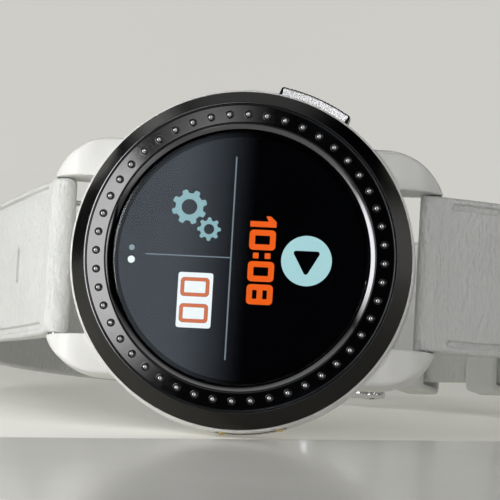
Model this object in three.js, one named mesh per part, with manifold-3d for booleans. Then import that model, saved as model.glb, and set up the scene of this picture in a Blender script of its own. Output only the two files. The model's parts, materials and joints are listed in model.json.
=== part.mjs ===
// Golf GPS watch standing on the edge of its case, with the strap undone.
//
// Everything is in millimetres. Inside the watch group the face looks along -Y, +X points to
// 12 o'clock, +Z points to 9 o'clock, and y = 0 is the plane of the bezel's outer edge, so a
// larger y lies deeper, towards the wrist. The group leans back onto the tail of the strap.

import * as THREE from 'three';
import { mergeVertices } from 'three/addons/utils/BufferGeometryUtils.js';
import Module from 'manifold-3d';

const wasm = await Module();
wasm.setup();

const DEG = Math.PI / 180;

// Case: a round shell with four lugs, open to the front for the bezel and to the back for its cover
const LEAN = 10.7 * DEG; // how far the face leans back
const CASE_R = 21.75;
const CASE_FRONT = 0.1;
const CASE_WALL = 4.2; // depth of the straight side, whose rear edge stands on the table
const CASE_BACK = 8.4;
const CAVITY_R = 16.6;
const REAR_CAVITY_R = 14.8;
const LUG_FACE = 10.1; // half the distance between two lugs
const CLEAR = 0.1; // clearance between pieces that rest on each other
const SIDES = 48;

// Bezel, insert and lens, as radii and depths
const BEZEL_R = 21.5;
const BEZEL_EDGE_R = 19.65;
const BEZEL_TOP = -2.86;
const BEZEL_SKIRT_R = 19.9;
const INSERT_R = 16.92; // its inner radius
const INSERT_THICKNESS = 0.77;
const STUD_COUNT = 48;
const STUD_PITCH_R = 18.1;
const STUD_R = 0.43;
const LENS_R = 16.18;
const LENS_TOP = -1.98;
const LENS_BACK = -0.9;

// Inside: depths of the stack between the lens and the case back
const DISPLAY_BACK = 0.9;
const FRAME_FRONT = 1.2;
const BOARD_FRONT = 3.3;
const BOARD_BACK = 4.1;
const BOARD_R = 14.3;
const COVER_R = 18;
const COVER_SEAT = 7.6; // where the cover's rim rests in the case
const COVER_FRONT = 7.3;
const COVER_BACK = 8.9;
const GASKET_SEAT = 7.2;
const GASKET_R = 15.9; // outer radius of the gasket's groove
const SCREW_COUNT = 4;
const SCREW_PITCH_R = 16.95;
const SCREW_R = 0.58;
const SCREW_HEAD_R = 1.2;

// Button at 10 o'clock, charging contacts at 3 o'clock: angles from +X towards +Z
const BUTTON_ANGLE = 68.5 * DEG;
const BUTTON_Y = 2.4;
const BUTTON_OUT_R = 22.9;
const BUTTON_IN_R = 21.3;
const BUTTON_HALF = 4.75;
const BUTTON_TALL = 2.4;
const BUTTON_TRAVEL = 0.6;
const CONTACT_ANGLE = -84 * DEG;
const CONTACT_Y = 2.7;
const CONTACT_COUNT = 4;
const CONTACT_PITCH = 2.4;

// Strap: two moulded halves, each on a quick release spring bar
const BAR_X = 23.6;
const BAR_Y = 5.2;
const BAR_R = 0.75;
const PIN_TRAVEL = 1.2;
const STRAP_HALF = 9.9; // half width between the lugs
const STRAP_END_HALF = 9; // half width from the middle on
const ROOT_THICK = 1.3; // half thickness next to the bar
const STRAP_THICK = 1.05; // half thickness from the middle on
const ROLL_R = 1.7;
const GROOVE_DEPTH = 0.35;
const ARC_STEP = 8 * DEG;

// Half at 12 o'clock: short, with the buckle
const SHORT_HEADING = 20 * DEG; // how far behind the face it leaves the bar
const SHORT_RUN = 8;
const SHORT_ARC_R = 20.5;
const SHORT_TURN = 140 * DEG;
const SHORT_END = 16.5;

// Half at 6 o'clock: long, with the holes
const LONG_HEADING = 62 * DEG;
const LONG_ARC_R = 28;
const LONG_END = 28;
const TIP_LENGTH = 8;
const HOLE_COUNT = 9;
const HOLE_PITCH = 6.2;
const HOLE_R = 1.15;

// Buckle and keepers, in their own frame: x along the strap, y out of it, z across
const BUCKLE_HALF = 11.4;
const BUCKLE_INNER_HALF = 9.4;
const BUCKLE_LENGTH = 11;
const BUCKLE_THICK = 0.95;
const BUCKLE_BAR_R = 0.72;
const BUCKLE_ROLL_R = 1.6;
const TONGUE_HALF = 1.3;
const KEEPER_LENGTH = 4.4;
const KEEPER_WALL = 1;

// Colours of the materials
const PAINT = {
  white_plastic: [0xe6e5e0, 0.35, 0],
  dark_steel: [0x2a2a2b, 0.4, 0.9],
  gloss_black: [0x08080a, 0.08, 0.2],
  polished_steel: [0xc8c8ca, 0.15, 1],
  glass: [0x0c0d10, 0.05, 0],
  black_rubber: [0x151515, 0.8, 0],
  screen: [0x101216, 0.2, 0],
  white_silicone: [0xdcdcd8, 0.6, 0],
  board: [0x1c4a30, 0.5, 0],
  black_plastic: [0x1b1b1c, 0.5, 0],
  battery_wrap: [0x8d9094, 0.4, 0.6],
  gold: [0xc9a24a, 0.3, 1],
  ceramic: [0xd8cfb8, 0.6, 0],
};

// Solids ------------------------------------------------------------------------------------

// The geometry as a bare welded mesh with no slivers, its faces pointing out
function weld(source) {
  const bare = source.clone();
  bare.deleteAttribute('normal');
  bare.deleteAttribute('uv');
  const welded = mergeVertices(bare, 1e-4);
  const corner = [0, 1, 2].map(() => new THREE.Vector3());
  const faces = [];
  let volume = 0;
  for (let i = 0; i < welded.index.count; i += 3) {
    const face = [0, 1, 2].map((k) => welded.index.getX(i + k));
    if (new Set(face).size < 3) continue;
    face.forEach((vertex, k) => corner[k].fromBufferAttribute(welded.attributes.position, vertex));
    volume += corner[0].dot(corner[1].cross(corner[2]));
    faces.push(face);
  }
  welded.setIndex((volume < 0 ? faces.map((face) => face.reverse()) : faces).flat());
  return welded;
}

function toManifold(geometry) {
  const { attributes, index } = weld(geometry);
  return new wasm.Manifold(new wasm.Mesh({
    numProp: 3,
    vertProperties: new Float32Array(attributes.position.array),
    triVerts: new Uint32Array(index.array),
  }));
}

function fromManifold(manifold) {
  const { vertProperties, triVerts } = manifold.getMesh();
  const geometry = new THREE.BufferGeometry();
  geometry.setAttribute('position', new THREE.BufferAttribute(vertProperties, 3));
  geometry.setIndex(new THREE.BufferAttribute(triVerts, 1));
  return geometry;
}

const combine = (operation) => (base, ...others) => fromManifold(
  others.reduce((body, other) => body[operation](toManifold(other)), toManifold(base)),
);
const join = combine('add');
const cut = combine('subtract');
const common = combine('intersect');

// Revolved about the Y axis: [radius, y] pairs, either closed on the axis or a ring's section
function turned(profile, sides = SIDES) {
  const points = profile.map(([radius, y]) => new THREE.Vector2(radius, y));
  if (profile[0][0] > 0) points.push(points[0].clone());
  return weld(new THREE.LatheGeometry(points, sides));
}

const ring = (inner, outer, low, high, sides) => turned(
  [[inner, low], [outer, low], [outer, high], [inner, high]],
  sides,
);
const disc = (radius, low, high, sides) => turned(
  [[0, low], [radius, low], [radius, high], [0, high]],
  sides,
);

// The same bodies turned to lie along X or Z
const alongX = (geometry) => geometry.rotateZ(-Math.PI / 2);
const alongZ = (geometry) => geometry.rotateX(Math.PI / 2);

// From a shape in the XY plane, symmetric about z = 0
function slab(shape, half) {
  return new THREE.ExtrudeGeometry(shape, { depth: 2 * half, bevelEnabled: false, curveSegments: 8 })
    .translate(0, 0, -half);
}

// From an outline seen from the front, x across and z up, between two depths
function plate(shape, front, back) {
  return new THREE.ExtrudeGeometry(shape, { depth: back - front, bevelEnabled: false, curveSegments: 7 })
    .rotateX(Math.PI / 2).translate(0, back, 0);
}

function outline(points) {
  return new THREE.Shape(points.map(([x, y]) => new THREE.Vector2(x, y)));
}

// A box between two corners
function block([x0, y0, z0], [x1, y1, z1]) {
  return new THREE.BoxGeometry(x1 - x0, y1 - y0, z1 - z0)
    .translate((x0 + x1) / 2, (y0 + y1) / 2, (z0 + z1) / 2);
}

// Moves a body made along +X, at its radius, round the watch to an angle
const around = (geometry, angle) => geometry.rotateY(-angle);

class Helix extends THREE.Curve {
  constructor(radius, length, turns) {
    super();
    Object.assign(this, { radius, length, turns });
  }

  getPoint(t) {
    const angle = 2 * Math.PI * this.turns * t;
    return new THREE.Vector3(this.radius * Math.cos(angle), this.length * t, this.radius * Math.sin(angle));
  }
}

// A coil spring standing on y = 0
function coil(radius, wire, length, turns) {
  const section = new THREE.Shape().absarc(0, 0, wire, 0, 2 * Math.PI);
  return new THREE.ExtrudeGeometry(section, {
    extrudePath: new Helix(radius, length - 2 * wire, turns),
    steps: turns * 7,
    curveSegments: 2,
  }).translate(0, wire, 0);
}

function part(name, geometry, paint) {
  const [color, roughness, metalness] = PAINT[paint];
  const finish = new THREE.MeshStandardMaterial({ color, roughness, metalness });
  const mesh = new THREE.Mesh(weld(geometry), finish);
  mesh.name = name;
  return mesh;
}

// Strap routes ------------------------------------------------------------------------------

// The strap's centre line in the XY plane: straight runs and arcs as [length, turn] pairs
class Route {
  constructor(start, heading, outward, runs) {
    Object.assign(this, { start, heading, outward, runs });
    this.length = runs.reduce((sum, [length]) => sum + length, 0);
  }

  // The frame at a distance from the bar: x along the strap, y out of its outer face, z across
  at(distance) {
    let [x, y] = this.start;
    let { heading } = this;
    let left = distance;
    this.runs.forEach(([length, turn], i) => {
      const last = i === this.runs.length - 1;
      const step = last ? left : Math.min(left, length);
      const next = heading + (turn * step) / length;
      const rate = turn / length;
      x += turn ? (Math.sin(next) - Math.sin(heading)) / rate : step * Math.cos(heading);
      y += turn ? (Math.cos(heading) - Math.cos(next)) / rate : step * Math.sin(heading);
      heading = next;
      left -= step;
    });
    const tangent = new THREE.Vector3(Math.cos(heading), Math.sin(heading), 0);
    const normal = new THREE.Vector3(-Math.sin(heading), Math.cos(heading), 0).multiplyScalar(this.outward);
    return new THREE.Matrix4()
      .makeBasis(tangent, normal, tangent.clone().cross(normal))
      .setPosition(x, y, 0);
  }

  // Distances that follow the arcs closely enough, between two ends
  stations(from, to) {
    const stops = [from];
    let begin = 0;
    for (const [length, turn] of this.runs) {
      const count = Math.max(1, Math.ceil(Math.abs(turn) / ARC_STEP));
      for (let i = 1; i <= count; i += 1) stops.push(begin + (length * i) / count);
      begin += length;
    }
    return [...new Set(stops.filter((s) => s >= from && s < to)), to];
  }
}

const ease = (s, from, to) => THREE.MathUtils.smoothstep(s, from, to);
const mix = THREE.MathUtils.lerp;
const halfWidth = (s) => mix(STRAP_HALF, STRAP_END_HALF, ease(s, 3, 30));
const halfThickness = (s) => mix(ROOT_THICK, STRAP_THICK, ease(s, 3, 20));

// Cross-section at half width 10 and half thickness 1, with a groove near each edge
const GROOVE = [8.2, 8.3, 8.85, 8.95];
const grooveFloor = 1 - GROOVE_DEPTH;
const upper = [
  [GROOVE[0], 1], [GROOVE[1], grooveFloor], [GROOVE[2], grooveFloor], [GROOVE[3], 1], [9.55, 1], [10, 0.6],
];
const SECTION = [
  ...upper, [10, -0.6], [9.55, -1],
  [-9.55, -1], [-10, -0.6], ...upper.map(([z, y]) => [-z, y]).reverse(),
];

// The plain stretch of a strap: the section, swept along the route
function strip(route, stops, widthAt) {
  const body = new THREE.ExtrudeGeometry(outline(SECTION), {
    depth: stops.length - 1,
    steps: stops.length - 1,
    bevelEnabled: false,
  });
  const position = body.attributes.position;
  const frames = stops.map((s) => route.at(s));
  const point = new THREE.Vector3();
  for (let i = 0; i < position.count; i += 1) {
    const station = Math.round(position.getZ(i));
    const s = stops[station];
    point.set(0, position.getY(i) * halfThickness(s), (position.getX(i) / 10) * widthAt(s));
    position.setXYZ(i, ...point.applyMatrix4(frames[station]).toArray());
  }
  return body;
}

// The rolled end round a bar: x runs from the bar into the strap
function rolledEnd(radius, thickness, reach, half) {
  const tangentAngle = 71 * DEG;
  const shape = new THREE.Shape();
  shape.moveTo(reach, -thickness);
  shape.lineTo(reach, thickness);
  shape.absarc(0, 0, radius, tangentAngle, 2 * Math.PI - tangentAngle);
  return slab(shape, half);
}

const shortRoute = new Route([BAR_X, BAR_Y], SHORT_HEADING, -1, [
  [SHORT_RUN, 0], [SHORT_ARC_R * SHORT_TURN, SHORT_TURN], [SHORT_END, 0],
]);

// The long half's tail is as deep as it takes for its lower edge to stand on the table
const CASE_DROP = CASE_R * Math.cos(LEAN) + CASE_WALL * Math.sin(LEAN);
const TAIL_DEPTH = (CASE_DROP - STRAP_END_HALF * Math.cos(LEAN)) / Math.sin(LEAN) - 0.6 * STRAP_THICK;
const longTurn = Math.PI - LONG_HEADING;
const arcDepth = LONG_ARC_R * (1 + Math.cos(LONG_HEADING));
const LONG_RUN = (TAIL_DEPTH - BAR_Y - arcDepth) / Math.sin(LONG_HEADING);
const longRoute = new Route([-BAR_X, BAR_Y], Math.PI - LONG_HEADING, 1, [
  [LONG_RUN, 0], [LONG_ARC_R * longTurn, -longTurn], [LONG_END, 0],
]);

// Front of the watch ------------------------------------------------------------------------

function bezelRing() {
  return turned([
    [BEZEL_R, 0], [BEZEL_EDGE_R, BEZEL_TOP], [19.5, BEZEL_TOP], [19.5, -2], [17, -1.75], [17, -0.9],
    [19, -0.9], [19, 0.9], [BEZEL_SKIRT_R, 0.9], [BEZEL_SKIRT_R, 0],
  ]);
}

function bezelInsert() {
  const outer = BEZEL_EDGE_R - 0.2;
  const top = (radius) => mix(-2.6, BEZEL_TOP + 0.02, (radius - INSERT_R) / (outer - INSERT_R));
  const body = turned([
    [INSERT_R, top(INSERT_R)], [outer, top(outer)],
    [outer, top(outer) + INSERT_THICKNESS], [INSERT_R, top(INSERT_R) + INSERT_THICKNESS],
  ]);
  const studs = Array.from({ length: STUD_COUNT }, (_, i) => {
    const dome = new THREE.SphereGeometry(STUD_R, 6, 4).rotateX(Math.PI / 2).scale(1, 0.6, 1);
    return around(dome.translate(STUD_PITCH_R, top(STUD_PITCH_R) + 0.03, 0), (i * 2 * Math.PI) / STUD_COUNT);
  });
  return join(body, ...studs);
}

const innerBezel = () => turned([
  [INSERT_R - 0.06, -2.56], [LENS_R + 0.07, LENS_TOP - 0.02], [LENS_R + 0.07, LENS_BACK],
  [INSERT_R - 0.06, LENS_BACK],
]);

const lens = () => turned([
  [0, LENS_TOP], [LENS_R - 0.25, LENS_TOP], [LENS_R, LENS_TOP + 0.2], [LENS_R, LENS_BACK], [0, LENS_BACK],
]);

// Case and back -----------------------------------------------------------------------------

function lug() {
  const shape = new THREE.Shape();
  const [centreX, centreZ, radius] = [17.3, 6.8, 8.25];
  shape.moveTo(12, LUG_FACE);
  shape.lineTo(24.75, LUG_FACE);
  shape.absarc(centreX, centreZ, radius, 26.5 * DEG, 95.5 * DEG);
  shape.lineTo(12, 15);
  // Seen from the end of the strap: high next to the case, falling away towards the wrist
  const side = outline([
    [12, 1.15], [19.6, 1.15], [22.4, 1.9], [24.2, 3.4], [24.95, 4.8], [24.95, 5.9], [24.3, 6.9], [22.5, 7.6],
    [19, 8], [12, 8],
  ]);
  return cut(common(plate(shape, 0, 10), slab(side, 20)), disc(19, 0, 10));
}

// A slice of a ring, as wide as twice `half`, made at +X
const sector = (inner, outer, half, low, high) => common(
  ring(inner, outer, low, high, 2 * SIDES),
  block([0, low - 1, -half], [30, high + 1, half]),
);

// Along the button's own axis, with its length measured from the watch's axis
const onButton = (geometry) => around(alongX(geometry).translate(0, BUTTON_Y, 0), BUTTON_ANGLE);

function caseBody() {
  const shell = turned([
    [CASE_R - 0.08, CASE_FRONT], [CASE_R, 0.3], [CASE_R, CASE_WALL], [21.3, 5.2], [18.7, 8.3],
    [COVER_R + CLEAR, CASE_BACK], [COVER_R + CLEAR, COVER_SEAT], [GASKET_R, COVER_SEAT],
    [GASKET_R, GASKET_SEAT], [REAR_CAVITY_R, GASKET_SEAT], [REAR_CAVITY_R, CASE_WALL],
    [CAVITY_R, CASE_WALL], [CAVITY_R, 1], [BEZEL_SKIRT_R + 0.15, 1], [BEZEL_SKIRT_R + 0.15, CASE_FRONT],
  ]);
  const lugs = [[1, 1], [1, -1], [-1, 1], [-1, -1]].map(([x, z]) => weld(lug().scale(x, 1, z)));
  const bores = [-1, 1].flatMap((x) => [-1, 1].map((z) => (
    alongZ(disc(0.5, -0.75, 0.75, 12)).translate(x * BAR_X, BAR_Y, z * 10.75)
  )));
  const pocket = around(
    sector(20.5, 24, BUTTON_HALF + 0.2, BUTTON_Y - 1.4, BUTTON_Y + 1.4),
    BUTTON_ANGLE,
  );
  const contactPocket = around(
    block([20.35, CONTACT_Y - 1.1, -4.5], [23, CONTACT_Y + 1.1, 4.5]),
    CONTACT_ANGLE,
  );
  return cut(
    join(shell, ...lugs),
    ...bores,
    pocket,
    onButton(disc(0.97, 14, 21, 16)),
    onButton(disc(1.25, 18.6, 21, 16)),
    contactPocket,
    ...onContacts(() => alongX(disc(0.65, 19.3, 21, 10))),
    ...onScrews(() => disc(SCREW_R + 0.07, 5.6, 8, 12)),
  );
}

function onScrews(make) {
  return Array.from({ length: SCREW_COUNT }, (_, i) => (
    around(make(i).translate(SCREW_PITCH_R, 0, 0), (45 + (i * 360) / SCREW_COUNT) * DEG)
  ));
}

function onContacts(make) {
  return Array.from({ length: CONTACT_COUNT }, (_, i) => (
    around(make(i).translate(0, CONTACT_Y, (i - (CONTACT_COUNT - 1) / 2) * CONTACT_PITCH), CONTACT_ANGLE)
  ));
}

function caseCover() {
  const spigotR = REAR_CAVITY_R - 0.2;
  const body = turned([
    [0, COVER_FRONT], [spigotR, COVER_FRONT], [spigotR, COVER_SEAT + CLEAR], [COVER_R, COVER_SEAT + CLEAR],
    [COVER_R, 8.5], [COVER_R - 0.3, COVER_BACK], [0, COVER_BACK],
  ]);
  const holes = onScrews(() => disc(SCREW_R + 0.17, 7, 10, 12));
  const counterbores = onScrews(() => disc(SCREW_HEAD_R + 0.15, 8.25, 10, 16));
  return cut(body, ...holes, ...counterbores);
}

function coverScrew() {
  const body = turned([
    [0, 5.7], [SCREW_R, 5.7], [SCREW_R, 8.3], [SCREW_HEAD_R, 8.3], [SCREW_HEAD_R, 8.75], [0, 8.75],
  ], 12);
  return cut(body, block([-0.8, 8.5, -0.15], [0.8, 9, 0.15]), block([-0.15, 8.5, -0.8], [0.15, 9, 0.8]));
}

function contactBlock() {
  const body = common(
    sector(15, CASE_R - 0.1, 4.4, CONTACT_Y - 1, CONTACT_Y + 1),
    block([20.45, 0, -5], [23, 6, 5]),
  );
  return cut(around(body, CONTACT_ANGLE), ...onContacts(() => alongX(disc(0.6, 20, 23, 10))));
}

// Inside ------------------------------------------------------------------------------------

// Where the button's switch and the display's flex pass the inner frame
const switchNotch = () => around(block([11.8, 0, -2.7], [18, 6, 2.7]), BUTTON_ANGLE);
const flexNotch = () => block([-18, 0, -4.3], [-12.3, 6, 4.3]);

function innerFrame() {
  const body = join(disc(16.3, FRAME_FRONT, 2, 48), ring(13.2, 14.2, 1.8, BOARD_FRONT - CLEAR, 48));
  const windows = [
    block([-8, 0, 2], [8, 6, 9]),
    block([-8, 0, -9], [8, 6, -2]),
  ];
  return cut(body, ...windows, switchNotch(), flexNotch());
}

function displayFlex() {
  const [near, far, sheet] = [-13, -15.2, 0.15];
  return slab(outline([
    [near, 0.98], [far, 0.98], [far, 3.2], [near, 3.2], [near, 3.2 - sheet],
    [far + sheet, 3.2 - sheet], [far + sheet, 0.98 + sheet], [near, 0.98 + sheet],
  ]), 3.5);
}

function circuitBoard() {
  const notch = around(block([13.2, 0, -1.2], [18, 6, 1.2]), -150 * DEG);
  return cut(disc(BOARD_R, BOARD_FRONT, BOARD_BACK, 48), notch);
}

// A block on the back of the board: where its middle is, then its size along x, along z and in height
const onBoard = (x, z, long, wide, tall) => (
  block([-long / 2, 0, -wide / 2], [long / 2, tall, wide / 2]).translate(x, BOARD_BACK + CLEAR, z)
);

function roundedBlock(long, wide, radius, front, back) {
  const [x, z] = [long / 2 - radius, wide / 2 - radius];
  const shape = new THREE.Shape();
  shape.absarc(x, z, radius, 0, 90 * DEG);
  shape.absarc(-x, z, radius, 90 * DEG, 180 * DEG);
  shape.absarc(-x, -z, radius, 180 * DEG, 270 * DEG);
  shape.absarc(x, -z, radius, 270 * DEG, 360 * DEG);
  return plate(shape, front, back);
}

const inside = [
  part('display_module', disc(16, -0.4, DISPLAY_BACK, 48), 'screen'),
  part('display_flex', displayFlex(), 'gold'),
  part('inner_frame', innerFrame(), 'black_plastic'),
  part('circuit_board', circuitBoard(), 'board'),
  part('gps_antenna', onBoard(-0.2, 7.2, 8.4, 8.4, 2), 'ceramic'),
  part('rf_shield', onBoard(-8.5, 4.3, 6.8, 5.2, 1.2), 'polished_steel'),
  part('battery', roundedBlock(20, 11, 1.2, BOARD_BACK + CLEAR, 7.1).translate(0, 0, -4.6), 'battery_wrap'),
  part('vibration_motor', disc(3.6, BOARD_BACK + CLEAR, 6.4, 24).translate(8.6, 0, 5.4), 'polished_steel'),
  part(
    'tact_switch',
    around(block([12.2, 1.6, -2], [14.1, BOARD_FRONT - CLEAR, 2]), BUTTON_ANGLE),
    'black_plastic',
  ),
];

// Button ------------------------------------------------------------------------------------

function buttonCap() {
  const body = sector(
    BUTTON_IN_R, BUTTON_OUT_R, BUTTON_HALF, BUTTON_Y - BUTTON_TALL / 2, BUTTON_Y + BUTTON_TALL / 2,
  );
  return cut(around(body, BUTTON_ANGLE), onButton(disc(0.8, 20, 22.1, 16)));
}

// The stem has one groove for its clip and one for its seal
const STEM_R = 0.75;
const STEM_TIP = 14.2 + CLEAR + BUTTON_TRAVEL;
const buttonStem = () => turned([
  [0, STEM_TIP], [STEM_R, STEM_TIP], [STEM_R, 15.95], [0.5, 15.95], [0.5, 16.35], [STEM_R, 16.35],
  [STEM_R, 17.3], [0.55, 17.3], [0.55, 18.1], [STEM_R, 18.1], [STEM_R, 22], [0, 22],
], 16);

const buttonClip = () => cut(ring(0.55, 1.15, 16, 16.3, 16), block([0, 15, -0.4], [2, 17, 0.4]));

const button = [
  part('button_cap', buttonCap(), 'polished_steel'),
  part('button_stem', onButton(buttonStem()), 'polished_steel'),
  part('button_seal', onButton(ring(0.6, 0.9, 17.35, 18.05, 16)), 'black_rubber'),
  part('button_clip', onButton(buttonClip()), 'polished_steel'),
  part('button_spring', onButton(coil(1.02, 0.12, 2.5, 4).translate(0, 18.7, 0)), 'polished_steel'),
];

// Spring bars -------------------------------------------------------------------------------

// Bars lie along z. The knob of the sliding pin sticks out towards the wrist, along -y.
const KNOB_Z = 7.1;

function barTube() {
  const body = turned([
    [0, -11.3], [0.45, -11.3], [0.45, -8.9], [BAR_R, -8.9], [BAR_R, 8.9], [0.56, 8.9], [0.56, 0.6], [0, 0.6],
  ], 14);
  const slot = block([-0.42, -2, KNOB_Z - PIN_TRAVEL - 0.45], [0.42, 0, KNOB_Z + 0.45]);
  return cut(alongZ(body), slot);
}

function releasePin() {
  const pin = alongZ(turned([[0, 4.7], [0.5, 4.7], [0.5, 8], [0.43, 8.2], [0.43, 11.3], [0, 11.3]], 14));
  const knob = disc(0.33, -2.9, 0, 10).translate(0, 0, KNOB_Z);
  return join(pin, knob);
}

function springBar(name, route) {
  const bar = new THREE.Group();
  bar.add(
    part(`bar_tube_${name}`, barTube(), 'polished_steel'),
    part(`release_pin_${name}`, releasePin(), 'polished_steel'),
    part(`pin_spring_${name}`, alongZ(coil(0.36, 0.09, 3.9, 5)).translate(0, 0, 0.7), 'polished_steel'),
  );
  bar.applyMatrix4(route.at(0));
  return bar;
}

// Bores for the two kinds of bar, and the notch for the knob in a rolled end
const barBore = () => alongZ(disc(BAR_R + 0.11, -12, 12, 16));
const buckleBore = () => alongZ(disc(BUCKLE_BAR_R + 0.08, -12, 12, 16));
const knobNotch = () => block([-0.65, -3, KNOB_Z - PIN_TRAVEL - 0.7], [0.65, 0, KNOB_Z + 0.7]);

// Strap halves ------------------------------------------------------------------------------

const ROOT_REACH = 3.1;
const STRIP_START = 2.9;

function strapRoot(route) {
  return rolledEnd(ROLL_R, ROOT_THICK, ROOT_REACH, STRAP_HALF).applyMatrix4(route.at(0));
}

function strapShort() {
  const end = shortRoute.length;
  const strap = strip(shortRoute, shortRoute.stations(STRIP_START, end - 2), halfWidth);
  const roll = rolledEnd(BUCKLE_ROLL_R, STRAP_THICK, 2.2, STRAP_END_HALF).rotateY(Math.PI);
  const slot = block([-5, -4, -TONGUE_HALF - 0.3], [3, 4, TONGUE_HALF + 0.3]);
  const atEnd = shortRoute.at(end);
  return cut(
    join(strap, strapRoot(shortRoute), roll.applyMatrix4(atEnd)),
    barBore().applyMatrix4(shortRoute.at(0)),
    knobNotch().applyMatrix4(shortRoute.at(0)),
    buckleBore().applyMatrix4(atEnd),
    slot.applyMatrix4(atEnd),
  );
}

function strapLong() {
  const end = longRoute.length;
  const rounding = (s) => Math.max(0, (s - end + TIP_LENGTH) / TIP_LENGTH) * 0.985;
  const tipStops = [0.75, 0.5, 0.3, 0.15, 0.05].map((share) => end - share * TIP_LENGTH);
  const stops = [...longRoute.stations(STRIP_START, end - TIP_LENGTH), ...tipStops, end];
  const strap = strip(longRoute, stops, (s) => halfWidth(s) * Math.sqrt(1 - rounding(s) ** 2));
  const holes = Array.from({ length: HOLE_COUNT }, (_, i) => (
    disc(HOLE_R, -3, 3, 10).applyMatrix4(longRoute.at(end - 13 - i * HOLE_PITCH))
  ));
  const slit = block([-0.3, 0.8, -2], [0.3, 2, 2]).applyMatrix4(longRoute.at(12));
  return cut(
    join(strap, strapRoot(longRoute)),
    barBore().applyMatrix4(longRoute.at(0)),
    knobNotch().applyMatrix4(longRoute.at(0)),
    slit,
    ...holes,
  );
}

// Buckle and keepers ------------------------------------------------------------------------

function buckleFrame() {
  const [far, inner, corner] = [BUCKLE_LENGTH, BUCKLE_LENGTH - 2.2, 2.5];
  const shape = new THREE.Shape();
  shape.moveTo(0, BUCKLE_INNER_HALF);
  shape.lineTo(inner - 1, BUCKLE_INNER_HALF);
  shape.lineTo(inner, BUCKLE_INNER_HALF - 1);
  shape.lineTo(inner, -BUCKLE_INNER_HALF + 1);
  shape.lineTo(inner - 1, -BUCKLE_INNER_HALF);
  shape.lineTo(0, -BUCKLE_INNER_HALF);
  shape.lineTo(0, -BUCKLE_HALF);
  shape.absarc(far - corner, -BUCKLE_HALF + corner, corner, -90 * DEG, 0);
  shape.absarc(far - corner, BUCKLE_HALF - corner, corner, 0, 90 * DEG);
  shape.lineTo(0, BUCKLE_HALF);
  const eyes = [-1, 1].map((side) => {
    const centre = (side * (BUCKLE_HALF + BUCKLE_INNER_HALF)) / 2;
    return alongZ(disc(BUCKLE_ROLL_R, -1, 1, 20)).translate(0, 0, centre);
  });
  return cut(join(plate(shape, -BUCKLE_THICK, BUCKLE_THICK), ...eyes), buckleBore());
}

function buckleTongue() {
  const rest = BUCKLE_THICK + CLEAR;
  const blade = outline([
    [0.9, 0.2], [9, rest], [11.2, rest], [11.5, rest + 0.35], [11.2, rest + 0.9], [9, rest + 0.95],
    [3, 1.75], [0.4, 1.35],
  ]);
  const eye = alongZ(disc(1.4, -TONGUE_HALF, TONGUE_HALF, 20));
  return cut(join(slab(blade, TONGUE_HALF), eye), buckleBore());
}

// A flat loop with room for both halves of the strap, one on the other
function keeper() {
  const [low, high, half] = [-1.35, 3.6, STRAP_END_HALF + 0.35];
  const tube = (length, wall) => block(
    [-length / 2, low - wall, -half - wall],
    [length / 2, high + wall, half + wall],
  );
  return cut(tube(KEEPER_LENGTH, KEEPER_WALL), tube(2 * KEEPER_LENGTH, 0));
}

function buckle() {
  const group = new THREE.Group();
  group.add(
    part('buckle_frame', buckleFrame(), 'polished_steel'),
    part('buckle_bar', alongZ(disc(BUCKLE_BAR_R, -11.2, 11.2, 14)), 'polished_steel'),
    part('buckle_tongue', buckleTongue(), 'polished_steel'),
  );
  group.applyMatrix4(shortRoute.at(shortRoute.length));
  return group;
}

function keeperAt(name, distance) {
  const mesh = part(name, keeper(), 'white_silicone');
  mesh.applyMatrix4(shortRoute.at(distance));
  return mesh;
}

// Assembly ----------------------------------------------------------------------------------

const watch = new THREE.Group();
watch.add(
  part('case_body', caseBody(), 'white_plastic'),
  part('bezel_ring', bezelRing(), 'dark_steel'),
  part('bezel_insert', bezelInsert(), 'gloss_black'),
  part('inner_bezel', innerBezel(), 'polished_steel'),
  part('lens', lens(), 'glass'),
  part('lens_gasket', ring(15.6, 16.8, -0.8, -0.5, 32), 'black_rubber'),
  part('touch_panel', disc(15.5, -0.8, -0.5, 48), 'glass'),
  ...inside,
  ...button,
  part('case_back', caseCover(), 'polished_steel'),
  part(
    'case_back_gasket',
    ring(REAR_CAVITY_R + CLEAR, GASKET_R - 0.15, COVER_FRONT, COVER_SEAT, 32),
    'black_rubber',
  ),
  ...onScrews(coverScrew).map((screw, i) => part(`case_screw_${i + 1}`, screw, 'polished_steel')),
  part('contact_block', contactBlock(), 'black_plastic'),
  ...onContacts(() => alongX(disc(0.5, 19.4, CASE_R - 0.15, 10)))
    .map((pin, i) => part(`charge_contact_${i + 1}`, pin, 'gold')),
  part('strap_short', strapShort(), 'white_silicone'),
  part('strap_long', strapLong(), 'white_silicone'),
  springBar('short', shortRoute),
  springBar('long', longRoute),
  buckle(),
  keeperAt('keeper_fixed', shortRoute.length - 5.8),
  keeperAt('keeper_free', SHORT_RUN + SHORT_ARC_R * SHORT_TURN),
);

// Lean the watch back, then stand it on z = 0 with its origin under the middle
watch.rotation.x = -LEAN;
const group = new THREE.Group();
group.add(watch);
const bounds = new THREE.Box3().setFromObject(group, true);
const middle = bounds.getCenter(new THREE.Vector3());
watch.position.set(-middle.x, -middle.y, -bounds.min.z);
group.updateMatrixWorld(true);

export default group;
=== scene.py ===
"""Looks of a golf GPS watch that stands on the edges of its case and strap, round its CAD frame.

Pieces are made in watch millimetres and then put into the row frame, in metres. In watch
millimetres the face looks along -Y, +X points to 12 o'clock, +Z to 9 o'clock, and y = 0 is the
plane of the bezel's outer edge, so a larger y lies deeper, towards the wrist.
"""

import json
import math

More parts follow.
